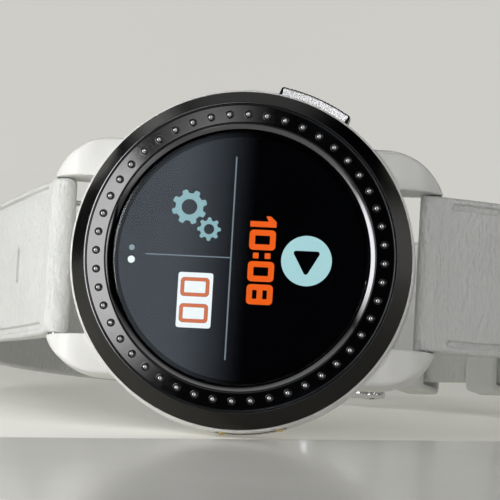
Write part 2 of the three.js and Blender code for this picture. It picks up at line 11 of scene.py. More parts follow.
import bmesh
import bpy
import numpy as np
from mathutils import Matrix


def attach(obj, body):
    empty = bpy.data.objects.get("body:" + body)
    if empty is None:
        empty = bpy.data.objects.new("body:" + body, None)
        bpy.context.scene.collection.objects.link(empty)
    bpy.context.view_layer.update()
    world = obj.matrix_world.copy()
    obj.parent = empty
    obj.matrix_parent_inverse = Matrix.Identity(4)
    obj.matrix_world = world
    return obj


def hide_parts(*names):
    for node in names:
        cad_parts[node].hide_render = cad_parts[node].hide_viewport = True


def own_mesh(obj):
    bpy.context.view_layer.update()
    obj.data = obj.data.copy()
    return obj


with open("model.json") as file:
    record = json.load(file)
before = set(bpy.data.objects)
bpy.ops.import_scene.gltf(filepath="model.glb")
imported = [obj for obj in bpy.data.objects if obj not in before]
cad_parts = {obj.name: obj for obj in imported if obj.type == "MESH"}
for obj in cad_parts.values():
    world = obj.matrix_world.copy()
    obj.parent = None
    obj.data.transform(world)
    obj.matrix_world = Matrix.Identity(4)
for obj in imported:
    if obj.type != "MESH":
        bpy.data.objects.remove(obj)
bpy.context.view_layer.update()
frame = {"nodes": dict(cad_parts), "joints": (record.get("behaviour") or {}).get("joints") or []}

import openvdb
from mathutils import Matrix, Vector

MM = 0.001
TURN = 2 * math.pi

# Case, as radii and depths
CASE_R = 21.75
CASE_FRONT = 0.1
CASE_WALL = 4.2
CASE_BACK = 8.4
CAVITY_R = 16.6
REAR_CAVITY_R = 14.8
POCKET_R = 20.05
COVER_R = 18
COVER_SEAT = 7.6
COVER_BACK = 8.9
GASKET_R = 15.9
SCREW_PITCH_R = 16.95
SCREW_COUNT = 4
LUG_FACE = 10.1

# Front
BEZEL_R = 21.5
BEZEL_EDGE_R = 19.65
BEZEL_TOP = -2.86
INSERT_R = 16.92
INSERT_TOP = -2.6
INSERT_OUTER_R = BEZEL_EDGE_R - 0.2
INSERT_OUTER_TOP = BEZEL_TOP + 0.02
INSERT_THICKNESS = 0.77
STUD_COUNT = 48
STUD_PITCH_R = 18.1
STUD_R = 0.43
LENS_R = 16.18
PANE_R = 15.98
LENS_TOP = -1.98
LENS_BACK = -0.9
SCREEN_R = 15.5
SCREEN_Y = -0.8

# Button at 10 o'clock and charging contacts at 3 o'clock
BUTTON_ANGLE = math.radians(68.5)
BUTTON_Y = 2.4
BUTTON_HALF = 4.75
BUTTON_OUT_R = 22.9
BUTTON_IN_R = 21.3
BUTTON_DEPTH = 1.2
STEM_BORE_R = 0.97
SEAL_BORE_R = 1.25
CONTACT_ANGLE = math.radians(-84)
CONTACT_Y = 2.7
CONTACT_HALF = 4.4
CONTACT_DEPTH = 1
CONTACT_COUNT = 4
CONTACT_PITCH = 2.4

# Strap, bars and buckle
BAR_X = 23.6
BAR_Y = 5.2
BAR_R = 0.75
BAR_TIP = 11.3
KNOB_Z = 7.1
STRAP_HALF = 9.9
STRAP_END_HALF = 9.0
ROOT_THICK = 1.3
STRAP_THICK = 1.05
ROLL_R = 1.7
BUCKLE_ROLL_R = 1.6
BUCKLE_HALF = 11.4
BUCKLE_INNER_HALF = 9.4
BUCKLE_LENGTH = 11
BUCKLE_THICK = 0.95
BUCKLE_BAR_R = 0.72
TONGUE_HALF = 1.3
TONGUE_EYE_R = 1.4
TONGUE_TIP = 11.5
KEEPER_LENGTH = 4.4
KEEPER_WALL = 1
KEEPER_LOW = -1.35
KEEPER_HIGH = 3.6
KEEPER_HALF = STRAP_END_HALF + 0.35
FIXED_KEEPER_GAP = 5.8
SHORT_RUNS = [(8, 0), (20.5 * math.radians(140), math.radians(140)), (16.5, 0)]
LONG_ARC_R = 28
LONG_HEADING = math.radians(118)
LONG_END = 28
TIP_LENGTH = 8
HOLE_COUNT = 9
HOLE_PITCH = 6.2
HOLE_R = 1.15
HOLE_MARGIN = 13
SLIT_PLACE = 12


# ---- Where the watch is ----

def joint(name):
    return next(j for j in frame["joints"] if j["name"] == name)


ACROSS = Vector(joint("strap_short_hinge")["axis"])
ALONG = Vector((1, 0, 0))
DEEP = ACROSS.cross(ALONG)
BARS_MIDDLE = (
    Vector(joint("strap_short_hinge")["pos_m"]) + Vector(joint("strap_long_hinge")["pos_m"])
) / 2
ORIGIN = BARS_MIDDLE - DEEP * BAR_Y * MM
TURNED = Matrix((ALONG, DEEP, ACROSS)).transposed().to_4x4()
WATCH = Matrix.Translation(ORIGIN) @ TURNED @ Matrix.Scale(MM, 4)


class Route:
    """A strap's centre line in the watch's XY plane: straight runs and arcs as (length, turn)."""

    def __init__(self, start, heading, outward, runs):
        self.start, self.heading, self.outward, self.runs = start, heading, outward, runs
        self.length = sum(length for length, _ in runs)

    def at(self, distance):
        """The frame there: x along the strap, y out of its outer face, z across."""
        x, y = self.start
        heading, left = self.heading, distance
        for i, (length, turn) in enumerate(self.runs):
            step = left if i == len(self.runs) - 1 else min(left, length)
            after = heading + turn * step / length
            if turn:
                x += (math.sin(after) - math.sin(heading)) * length / turn
                y += (math.cos(heading) - math.cos(after)) * length / turn
            else:
                x += step * math.cos(heading)
                y += step * math.sin(heading)
            heading, left = after, left - step
        along = Vector((math.cos(heading), math.sin(heading), 0))
        out = Vector((-math.sin(heading), math.cos(heading), 0)) * self.outward
        turned = Matrix((along, out, along.cross(out))).transposed().to_4x4()
        return Matrix.Translation((x, y, 0)) @ turned


def long_run():
    """The straight run that lets the tail's lower edge stand on the table."""
    lean = math.asin(-DEEP.z)
    drop = CASE_R * math.cos(lean) + CASE_WALL * math.sin(lean)
    tail_depth = (drop - STRAP_END_HALF * math.cos(lean)) / math.sin(lean) - 0.6 * STRAP_THICK
    arc_depth = LONG_ARC_R * (1 - math.cos(LONG_HEADING))
    return (tail_depth - BAR_Y - arc_depth) / math.sin(LONG_HEADING)


SHORT = Route((BAR_X, BAR_Y), math.radians(20), -1, SHORT_RUNS)
LONG = Route(
    (-BAR_X, BAR_Y), LONG_HEADING, 1,
    [(long_run(), 0), (LONG_ARC_R * LONG_HEADING, -LONG_HEADING), (LONG_END, 0)],
)


# ---- Meshes ----

def faced(mesh, merge=0.0, dissolve=0.0):
    """The mesh with its faces pointing out, after doubles and slivers under these sizes are gone."""
    work = bmesh.new()
    work.from_mesh(mesh)
    if merge:
        bmesh.ops.remove_doubles(work, verts=work.verts, dist=merge)
    if dissolve:
        bmesh.ops.dissolve_degenerate(work, edges=work.edges, dist=dissolve)
    bmesh.ops.recalc_face_normals(work, faces=work.faces)
    if work.calc_volume(signed=True) < 0:
        bmesh.ops.reverse_faces(work, faces=work.faces)
    work.to_mesh(mesh)
    work.free()
    return mesh


def new_mesh(points, faces):
    """A closed mesh of points and faces."""
    mesh = bpy.data.meshes.new("shape")
    mesh.from_pydata([tuple(map(float, p)) for p in points], [], [tuple(map(int, f)) for f in faces])
    return faced(mesh, 1e-4, 1e-5)


def tube_faces(rings, sides):
    """Faces of a tube made of rings of points, with a cap at each end."""
    faces = []
    for first in range(0, (rings - 1) * sides, sides):
        for k in range(sides):
            after = (k + 1) % sides
            faces.append((first + k, first + after, first + sides + after, first + sides + k))
    last = (rings - 1) * sides
    return [*faces, tuple(range(sides)), tuple(range(last, last + sides))]


def moved(mesh, *steps):
    """The mesh after these matrices, the first one first."""
    for step in steps:
        mesh.transform(step)
        if step.determinant() < 0:
            mesh.flip_normals()
    return mesh


def shift(x=0, y=0, z=0):
    return Matrix.Translation((x, y, z))


def around(angle):
    """Turns a piece made at +X round the watch, towards +Z."""
    return Matrix.Rotation(-angle, 4, "Y")


ALONG_X = Matrix.Rotation(-math.pi / 2, 4, "Z")
ALONG_Z = Matrix.Rotation(math.pi / 2, 4, "X")


def rounded(corners, radius=0.1, steps=5):
    """The closed outline with arcs for corners. A corner may carry a radius of its own."""
    outline = []
    for i, corner in enumerate(corners):
        here = np.array(corner[:2], float)
        wanted = corner[2] if len(corner) > 2 else radius
        back = np.array(corners[i - 1][:2], float) - here
        ahead = np.array(corners[(i + 1) % len(corners)][:2], float) - here
        back_length, ahead_length = np.linalg.norm(back), np.linalg.norm(ahead)
        back, ahead = back / back_length, ahead / ahead_length
        half = math.acos(np.clip(back @ ahead, -1, 1)) / 2
        if wanted <= 0 or half > 1.55:
            outline.append(here)
            continue
        reach = min(wanted / math.tan(half), 0.45 * back_length, 0.45 * ahead_length)
        size = reach * math.tan(half)
        middle = here + (back + ahead) / np.linalg.norm(back + ahead) * size / math.sin(half)
        first, last = here + back * reach - middle, here + ahead * reach - middle
        turn = math.pi - 2 * half
        for k in range(steps + 1):
            share = k / steps
            blend = math.sin((1 - share) * turn) * first + math.sin(share * turn) * last
            outline.append(middle + blend / math.sin(turn))
    return outline


def lathe(profile, sides=256):
    """Revolved about Y: (radius, y) pairs that either close on the axis or close a ring's section."""
    on_axis = profile[0][0] == 0
    angles = np.arange(sides) * TURN / sides
    points = [(r * math.cos(a), y, r * math.sin(a)) for a in angles for r, y in profile]
    count = len(profile)
    faces = []
    for i in range(sides):
        here, there = i * count, (i + 1) % sides * count
        for k in range(count - 1 if on_axis else count):
            after = (k + 1) % count
            faces.append((here + k, here + after, there + after, there + k))
    return new_mesh(points, faces)


def turned(corners, sides, steps=5):
    """A solid revolved about Y. Its first and last corner lie near the axis, where it closes."""
    low, high = (0, corners[0][1]), (0, corners[-1][1])
    return lathe([low, *rounded(corners, steps=steps), high], sides)


def disc(radius, low, high, sides=64):
    return lathe([(0, low), (radius, low), (radius, high), (0, high)], sides)


def block(low, high):
    """A box between two corners."""
    xs, ys, zs = zip(low, high)
    corners = [(x, y, z) for x in xs for y in ys for z in zs]
    faces = [(0, 1, 3, 2), (4, 6, 7, 5), (0, 4, 5, 1), (2, 3, 7, 6), (0, 2, 6, 4), (1, 5, 7, 3)]
    return new_mesh(corners, faces)


def put(mesh, name="shape"):
    """A scene object that holds the mesh."""
    shown = bpy.data.objects.new(name, mesh)
    bpy.context.scene.collection.objects.link(shown)
    return shown


def joined(meshes):
    """One mesh of several that don't touch."""
    work = bmesh.new()
    for mesh in meshes:
        work.from_mesh(mesh)
    whole = bpy.data.meshes.new("shape")
    work.to_mesh(whole)
    work.free()
    return whole


def boolean(base, tools, operation="DIFFERENCE"):
    """The base cut by each tool, or joined to it. All are meshes."""
    body, others = put(base), [put(tool) for tool in tools]
    for other in others:
        step = body.modifiers.new("step", "BOOLEAN")
        step.operation, step.object, step.solver = operation, other, "MANIFOLD"
    graph = bpy.context.evaluated_depsgraph_get()
    result = bpy.data.meshes.new_from_object(body.evaluated_get(graph))
    for used in [body, *others]:
        bpy.data.objects.remove(used)
    return result


# Solids from distance fields: a field is negative inside, and takes arrays of x, y and z

def meet(a, b, soft=0.15):
    """Inside both, with the edge between them rounded."""
    return np.maximum(a, b) + np.maximum(soft - np.abs(a - b), 0) ** 2 / (4 * soft)


def either(a, b, soft=0.15):
    return -meet(-a, -b, soft)


def without(a, b, soft=0.15):
    return meet(a, -b, soft)


def convex(chain, u, v, soft):
    """To the left of every side of an open chain of (u, v) points."""
    field = None
    for (u0, v0), (u1, v1) in zip(chain, chain[1:]):
        length = math.hypot(u1 - u0, v1 - v0)
        side = ((u - u0) * (v1 - v0) - (v - v0) * (u1 - u0)) / length
        field = side if field is None else meet(field, side, soft)
    return field


def box_field(spans, soft=0.15):
    """Inside each (value, low, high) span."""
    field = None
    for value, low, high in spans:
        side = np.abs(value - (low + high) / 2) - (high - low) / 2
        field = side if field is None else meet(field, side, soft)
    return field


def solid(field, low, high, pitch):
    """The field's zero surface as a mesh whose points are settled exactly on it."""
    low = np.array(low, float) - 2 * pitch
    counts = np.ceil((np.array(high, float) + 2 * pitch - low) / pitch).astype(int) + 1
    axes = [low[k] + pitch * np.arange(counts[k]) for k in range(3)]
    values = field(*np.meshgrid(*axes, indexing="ij")).astype(np.float32)
    grid = openvdb.FloatGrid(float(4 * pitch))
    grid.copyFromArray(values)
    points, quads = grid.convertToQuads(isovalue=0.0)
    points = low + pitch * points.astype(float)
    step = pitch / 100
    for _ in range(4):
        value = field(*points.T)
        slope = np.stack([field(*(points + step * axis).T) - value for axis in np.eye(3)], 1) / step
        move = slope * (value / np.maximum((slope**2).sum(1), 0.2))[:, None]
        points -= np.clip(move, -pitch / 2, pitch / 2)
    return new_mesh(points, quads)


# ---- Materials ----

class Nodes:
    """A material made of nodes, with short calls to add them."""

    def __init__(self, name):
        self.material = bpy.data.materials.new(name)
        self.material.use_nodes = True
        self.tree = self.material.node_tree

    def add(self, kind, settings=None, **inputs):
        made = self.tree.nodes.new("ShaderNode" + kind)
        for key, value in (settings or {}).items():
            setattr(made, key, value)
        for socket, value in inputs.items():
            numbered = socket[1:].isdigit()
            self.feed(made.inputs[int(socket[1:]) if numbered else socket], value)
        return made

    def feed(self, target, value):
        if isinstance(value, bpy.types.NodeSocket):
            self.tree.links.new(value, target)
        else:
            target.default_value = value

    def math(self, operation, a, b=0.0):
        return self.add("Math", {"operation": operation}, _0=a, _1=b).outputs[0]

    def ramp(self, value, start, end, low=0.0, high=1.0, **settings):
        """The value carried from start..end over to low..high."""
        sides = {"From Min": start, "From Max": end, "To Min": low, "To Max": high}
        return self.add("MapRange", settings, Value=value, **sides).outputs[0]


class Look(Nodes):
    """A principled material that is laid out in watch millimetres."""

    def __init__(self, name, roughness=0.5, **settings):
        super().__init__(name)
        self.shader = self.tree.nodes["Principled BSDF"]
        self.shader.inputs["Roughness"].default_value = roughness
        for socket, value in settings.items():
            self.shader.inputs[socket.replace("_", " ")].default_value = value
        self.row = self.add("TexCoord").outputs["Object"]
        place, turn, scale = WATCH.inverted().decompose()
        self.watch = self.mapped(self.row, Location=place, Rotation=turn.to_euler(), Scale=scale)

    def mapped(self, where, **steps):
        return self.add("Mapping", Vector=where, **steps).outputs["Vector"]

    def link(self, socket, value):
        self.feed(self.shader.inputs[socket], value)

    def noise(self, scale, detail=3.0, where=None, stretch=None):
        """Noise about `scale` features per millimetre, between 0 and 1."""
        where = where or self.watch
        if stretch:
            where = self.mapped(where, Scale=stretch)
        return self.add("TexNoise", Vector=where, Scale=scale, Detail=detail).outputs["Fac"]

    def span(self, value, low, high):
        """Noise's middle range stretched to run from low to high."""
        return self.ramp(value, 0.3, 0.7, low, high)

    def mix(self, value, first, second):
        """Two colours, each three numbers or a socket, mixed by a value."""
        made = self.add("Mix", {"data_type": "RGBA"}, _0=value)
        for target, colour in ((made.inputs[6], first), (made.inputs[7], second)):
            self.feed(target, (*colour, 1) if isinstance(colour, tuple) else colour)
        return made.outputs[2]

    def tones(self, value, first, second, socket="Base Color"):
        """Two tones mixed by a value, linked to a socket of the shader."""
        self.link(socket, self.mix(value, first, second))

    def uneven(self, value, first, second):
        """The base colour wanders between two close tones."""
        self.tones(self.span(value, 0, 1), first, second)

    def rough(self, value, low, high):
        self.link("Roughness", self.span(value, low, high))

    def bump(self, height, depth, under=None):
        """Relief of this depth in millimetres."""
        made = self.add("Bump", Height=height, Strength=1.0, Distance=depth * MM)
        if under:
            self.feed(made.inputs["Normal"], under)
        self.link("Normal", made.outputs["Normal"])
        return made.outputs["Normal"]

    def length(self, x, y):
        squares = self.math("MULTIPLY", x, x), self.math("MULTIPLY", y, y)
        return self.math("SQRT", self.math("ADD", *squares))

    def polar(self):
        """Radius, angle in radians, and depth about the watch's axis."""
        x, y, z = self.add("SeparateXYZ", Vector=self.watch).outputs
        return self.length(x, z), self.math("ARCTAN2", z, x), y

    def stretched(self, parts, scales):
        """A place for noise, of polar parts at scales of their own."""
        x, y, z = [self.math("MULTIPLY", part, scale) for part, scale in zip(parts, scales)]
        return self.add("CombineXYZ", X=x, Y=y, Z=z).outputs[0]


def dark_steel():
    """The bezel: brushed along its rings, with a paler and smoother edge where it meets the studs' ring."""
    look = Look("dark_steel", Metallic=1.0)
    radius, angle, depth = look.polar()
    brushed = look.noise(1.0, 4.0, where=look.stretched((radius, angle, depth), (14.0, 9.0, 14.0)))
    grain = look.noise(16.0, 2.0)
    off_edge = look.math("ABSOLUTE", look.math("SUBTRACT", radius, BEZEL_EDGE_R - 0.1))
    near_edge = look.math("LESS_THAN", look.math("SUBTRACT", off_edge, 0.1), 0.0)
    edge = look.math("MULTIPLY", near_edge, look.math("LESS_THAN", depth, -2.6))
    tone = look.mix(look.span(brushed, 0, 1), (0.027, 0.026, 0.024), (0.035, 0.0335, 0.031))
    look.tones(edge, tone, (0.07, 0.07, 0.073))
    smoother = look.math("MULTIPLY", edge, 0.14)
    look.link("Roughness", look.math("SUBTRACT", look.span(grain, 0.20, 0.27), smoother))
    look.bump(grain, 0.0012, under=look.bump(brushed, 0.0012))
    return look.material


def gloss_black():
    """Glossy black, with a bright metal bead at the top of each stud."""
    look = Look("gloss_black", IOR=1.52)
    radius, angle, _ = look.polar()
    turns = look.math("MULTIPLY", angle, STUD_COUNT / TURN)
    off_stud = look.math("SUBTRACT", turns, look.math("ROUND", turns))
    aside = look.math("MULTIPLY", off_stud, TURN * STUD_PITCH_R / STUD_COUNT)
    away = look.length(aside, look.math("SUBTRACT", radius, STUD_PITCH_R))
    bead = look.ramp(away, 0.32, 0.27)
    grain = look.span(look.noise(0.3), 0, 1)
    black = look.mix(grain, (0.0008, 0.0008, 0.0010), (0.0014, 0.0014, 0.0017))
    look.tones(bead, black, (0.42, 0.42, 0.43))
    look.link("Metallic", bead)
    look.rough(look.noise(1.5), 0.045, 0.075)
    look.bump(look.noise(0.9, 2.0), 0.0006)
    return look.material


def steel(name, colour=(0.66, 0.66, 0.67), low=0.10, high=0.17):
    look = Look(name, Metallic=1.0)
    look.uneven(look.noise(0.2), colour, tuple(c * 1.12 for c in colour))
    look.rough(look.noise(2.5), low, high)
    scratches = look.noise(3.0, 5.0, where=look.row, stretch=(300, 6000, 2500))
    look.bump(scratches, 0.0008)
    return look.material


def turned_steel():
    """Steel with the fine rings that a lathe leaves."""
    look = Look("turned_steel", Metallic=1.0)
    grain = look.noise(1.0, 4.0, where=look.stretched(look.polar(), (12.0, 2.5, 1.0)))
    look.uneven(grain, (0.50, 0.50, 0.51), (0.64, 0.64, 0.65))
    look.rough(grain, 0.24, 0.34)
    look.bump(grain, 0.003)
    return look.material


def knurled_steel():
    """The button: bright grained steel, near black along its outer edge and at its ends."""
    look = Look("knurled_steel", Metallic=1.0)
    radius, angle, depth = look.polar()
    grain = look.noise(1.0, 3.0, where=look.stretched((radius, angle, depth), (2.5, 110.0, 2.0)))
    aside = look.math("ABSOLUTE", look.math("SUBTRACT", angle, BUTTON_ANGLE))
    past = look.math("GREATER_THAN", aside, math.asin((BUTTON_HALF - 0.22) / BUTTON_OUT_R))
    dark = look.math("MAXIMUM", past, look.math("GREATER_THAN", radius, BUTTON_OUT_R - 0.2))
    tone = look.mix(look.span(grain, 0, 1), (0.34, 0.34, 0.345), (0.60, 0.60, 0.61))
    look.tones(dark, tone, (0.012, 0.012, 0.012))
    look.rough(grain, 0.24, 0.36)
    look.bump(grain, 0.012)
    return look.material


def clear_glass():
    look = Look("cover_glass", IOR=1.33, Transmission_Weight=1.0)
    smudges = look.noise(0.25, 4.0)
    look.uneven(smudges, (0.93, 0.94, 0.95), (0.97, 0.98, 0.98))
    look.rough(smudges, 0.0, 0.006)
    return look.material


def pixel_grid(look, pitch=0.11):
    """1 on a pixel and a little less on the fine dark lines between pixels."""
    parts = look.add("SeparateXYZ", Vector=look.watch)
    lines = []
    for axis in ("X", "Z"):
        wave = look.math("SINE", look.math("MULTIPLY", parts.outputs[axis], TURN / pitch))
        lines.append(look.ramp(wave, -1.0, -0.4, 0.72))
    return look.math("MULTIPLY", *lines)


def dark_screen():
    look = Look("dark_screen", IOR=1.6)
    look.uneven(look.noise(0.06, 1.0), (0.0006, 0.0007, 0.0009), (0.0010, 0.0011, 0.0015))
    look.rough(look.noise(0.5), 0.02, 0.035)
    grid = pixel_grid(look)
    look.tones(grid, (0.0001, 0.0001, 0.0002), (0.0003, 0.0003, 0.0006), "Emission Color")
    look.link("Emission Strength", 1.0)
    return look.material


def lit(name, colour, strength=1.0):
    """A lit sign on the screen, with the screen's pixel grid in it."""
    look = Look(name, roughness=0.3, IOR=1.5, Specular_IOR_Level=0.05)
    grid = look.math("MULTIPLY", pixel_grid(look), look.span(look.noise(1.3), 0.94, 1.04))
    look.tones(grid, tuple(0.55 * c for c in colour), colour, "Emission Color")
    look.tones(grid, (0.002, 0.002, 0.002), (0.004, 0.004, 0.004))
    look.link("Emission Strength", strength)
    return look.material


def silicone():
    """White silicone moulded like fine leather: short creases that run across the strap."""
    look = Look("white_silicone", IOR=1.42)
    place = look.add("Attribute", {"attribute_name": "on_strap"}).outputs["Vector"]
    creases = look.noise(1.0, 4.0, where=place, stretch=(2.6, 0.85, 1.0))
    pores = look.noise(1.0, 2.0, where=place, stretch=(14.0, 9.0, 4.0))
    soil = look.noise(0.12, 3.0)
    look.uneven(soil, (0.635, 0.643, 0.625), (0.680, 0.686, 0.670))
    look.rough(creases, 0.46, 0.58)
    look.bump(pores, 0.010, under=look.bump(creases, 0.42))
    return look.material


def plain(name, first, second, low, high, scales=(2.0, 4.0, 8.0), relief=0.002, **settings):
    """Two close tones, uneven gloss and a fine grain, each from a noise with a scale of its own."""
    look = Look(name, **settings)
    look.uneven(look.noise(scales[0]), first, second)
    look.rough(look.noise(scales[1]), low, high)
    if relief:
        look.bump(look.noise(scales[2], 2.0), relief)
    return look.material


def circuit_green():
    """Solder mask with faint tracks under it."""
    look = Look("board_green", IOR=1.5)
    greens = {"Color1": (0.010, 0.075, 0.030, 1), "Color2": (0.014, 0.090, 0.038, 1),
              "Mortar": (0.03, 0.16, 0.06, 1)}
    tracks = look.add("TexBrick", Vector=look.watch, Scale=0.8, **{"Mortar Size": 0.06}, **greens)
    look.link("Base Color", tracks.outputs["Color"])
    look.rough(look.noise(3.0), 0.28, 0.40)
    look.bump(tracks.outputs["Fac"], 0.01)
    return look.material


WHITE = plain("white_plastic", (0.705, 0.700, 0.680), (0.740, 0.735, 0.717), 0.30, 0.38, (0.08, 1.2, 9.0),
              relief=0.0015, IOR=1.5)
DARK = dark_steel()
BLACK = gloss_black()
STEEL = steel("polished_steel")
MIRROR = steel("dark_chrome", (0.13, 0.13, 0.135), 0.05, 0.09)
TURNED_STEEL = turned_steel()
KNURLED = knurled_steel()
GLASS = clear_glass()
PRINT = plain("printed_black", (0.0012, 0.0012, 0.0014), (0.0022, 0.0021, 0.0022), 0.85, 0.95,
              (2.0, 6.0), relief=0, Specular_IOR_Level=0.0)
SCREEN = dark_screen()
SILICONE = silicone()
GOLD = plain("gold_plate", (0.66, 0.46, 0.16), (0.74, 0.53, 0.20), 0.18, 0.28, Metallic=1.0)
RUBBER = plain("black_rubber", (0.010, 0.010, 0.010), (0.020, 0.020, 0.019), 0.65, 0.8)
BLACK_PLASTIC = plain("black_plastic", (0.010, 0.010, 0.011), (0.018, 0.018, 0.019), 0.42, 0.55)
CERAMIC = plain("ceramic", (0.60, 0.53, 0.40), (0.68, 0.61, 0.47), 0.5, 0.65)
FOIL = plain("battery_foil", (0.42, 0.43, 0.45), (0.52, 0.53, 0.55), 0.25, 0.4, (1.0, 2.0, 4.0),
             relief=0.01, Metallic=0.9)
BOARD = circuit_green()


# ---- Pieces ----

def piece(name, mesh, body, look, replaces=(), sharp=40, weighted=True):
    """A finished piece: a mesh in watch millimetres, put into the row frame on its body."""
    mesh.materials.clear()
    mesh.materials.append(look)
    mesh.shade_smooth()
    mesh.set_sharp_from_angle(angle=math.radians(sharp))
    made = put(moved(mesh, WATCH), name)
    if weighted:
        even = made.modifiers.new("even", "WEIGHTED_NORMAL")
        even.keep_sharp = True
    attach(made, body)
    if replaces:
        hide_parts(*replaces)
    return made


def on_button(x, z, angle=BUTTON_ANGLE):
    """Distances out along, and across, the direction of the button."""
    out = x * math.cos(angle) + z * math.sin(angle)
    return out, z * math.cos(angle) - x * math.sin(angle)


# Case: the outer shell, then four lugs, then everything that is hollowed out

SHELL = [(0, CASE_FRONT), (CASE_R - 0.05, CASE_FRONT), (CASE_R, 0.3), (CASE_R, CASE_WALL), (21.3, 5.2),
         (18.7, 8.3), (18.1, CASE_BACK), (0, CASE_BACK)]
LUG_SIDE = [(12, 1.15), (19.6, 1.15), (22.4, 1.9), (24.2, 3.4), (24.95, 4.8), (24.95, 5.9), (24.3, 6.9),
            (22.5, 7.6), (19, 8), (12, 8)]
LUG_ARC = (17.3, 6.8, 8.25)


def lug_field(x, y, z):
    """One lug, mirrored to all four corners."""
    x, z = np.abs(x), np.abs(z)
    middle_x, middle_z, radius = LUG_ARC
    front = np.hypot(np.maximum(x - middle_x, 0), z - middle_z) - radius
    lug = meet(front, convex(LUG_SIDE, x, y, 0.5), 0.5)
    return meet(lug, LUG_FACE - z, 0.3)


def case_field(x, y, z):
    r = np.hypot(x, z)
    field = either(convex(SHELL, r, y, 0.16), lug_field(x, y, z), 0.25)
    field = without(field, meet(r - POCKET_R, y - 1), 0.12)
    field = without(field, meet(r - CAVITY_R, y - CASE_WALL))
    field = without(field, r - REAR_CAVITY_R)
    field = without(field, meet(r - GASKET_R, 7.2 - y), 0.1)
    field = without(field, meet(r - COVER_R - 0.1, COVER_SEAT - y), 0.1)
    bore = meet(np.hypot(np.abs(x) - BAR_X, y - BAR_Y) - 0.5, np.abs(z) - 11.5, 0.1)
    field = without(field, bore, 0.1)
    out, across = on_button(x, z)
    room, depth = BUTTON_HALF + 0.2, BUTTON_DEPTH + 0.2
    pocket = box_field([(across, -room, room), (y, BUTTON_Y - depth, BUTTON_Y + depth)])
    field = without(field, np.maximum(pocket, np.maximum(20.5 - r, -out)), 0.12)
    to_stem = np.hypot(across, y - BUTTON_Y)
    field = without(field, np.maximum(to_stem - STEM_BORE_R, 14 - out), 0.1)
    field = without(field, np.maximum(to_stem - SEAL_BORE_R, 18.6 - out), 0.1)
    out, across = on_button(x, z, CONTACT_ANGLE)
    room, depth = CONTACT_HALF + 0.1, CONTACT_DEPTH + 0.1
    housing = box_field([(across, -room, room), (y, CONTACT_Y - depth, CONTACT_Y + depth)], 0.1)
    field = without(field, np.maximum(housing, 20.35 - out), 0.1)
    for i in range(CONTACT_COUNT):
        to_pin = np.hypot(across - contact_place(i), y - CONTACT_Y)
        field = without(field, np.maximum(to_pin - 0.65, 19.3 - out), 0.1)
    for screw_x, screw_z in circle(0, 0, SCREW_PITCH_R, SCREW_COUNT, screw_angle(0)):
        to_screw = np.hypot(x - screw_x, z - screw_z)
        field = without(field, np.maximum(to_screw - 0.65, 5.6 - y), 0.1)
    return field


def contact_place(i):
    return (i - (CONTACT_COUNT - 1) / 2) * CONTACT_PITCH


def screw_angle(i):
    return math.radians(45 + i * 360 / SCREW_COUNT)


def build_case():
    shell = solid(case_field, (-25, CASE_FRONT, -22), (25, CASE_BACK, 22), 0.26)
    piece("case_moulding", shell, "case", WHITE, ["case_body"], weighted=False)


# Front

def build_bezel():
    ring = rounded([
        (BEZEL_R, 0, 0.07), (BEZEL_EDGE_R, BEZEL_TOP, 0.02),
        (BEZEL_EDGE_R - 0.18, BEZEL_TOP + 0.017, 0.015), (BEZEL_EDGE_R - 0.18, -2, 0.05),
        (17, -1.75, 0.05), (17, -0.9, 0.05), (19, -0.9, 0.1),
        (19, 0.9, 0.1), (19.9, 0.9, 0.1), (19.9, 0, 0.05),
    ])
    piece("bezel", lathe(ring, 384), "case", DARK, ["bezel_ring"])


def band_top(radius):
    share = (radius - INSERT_R) / (INSERT_OUTER_R - INSERT_R)
    return INSERT_TOP + share * (INSERT_OUTER_TOP - INSERT_TOP)


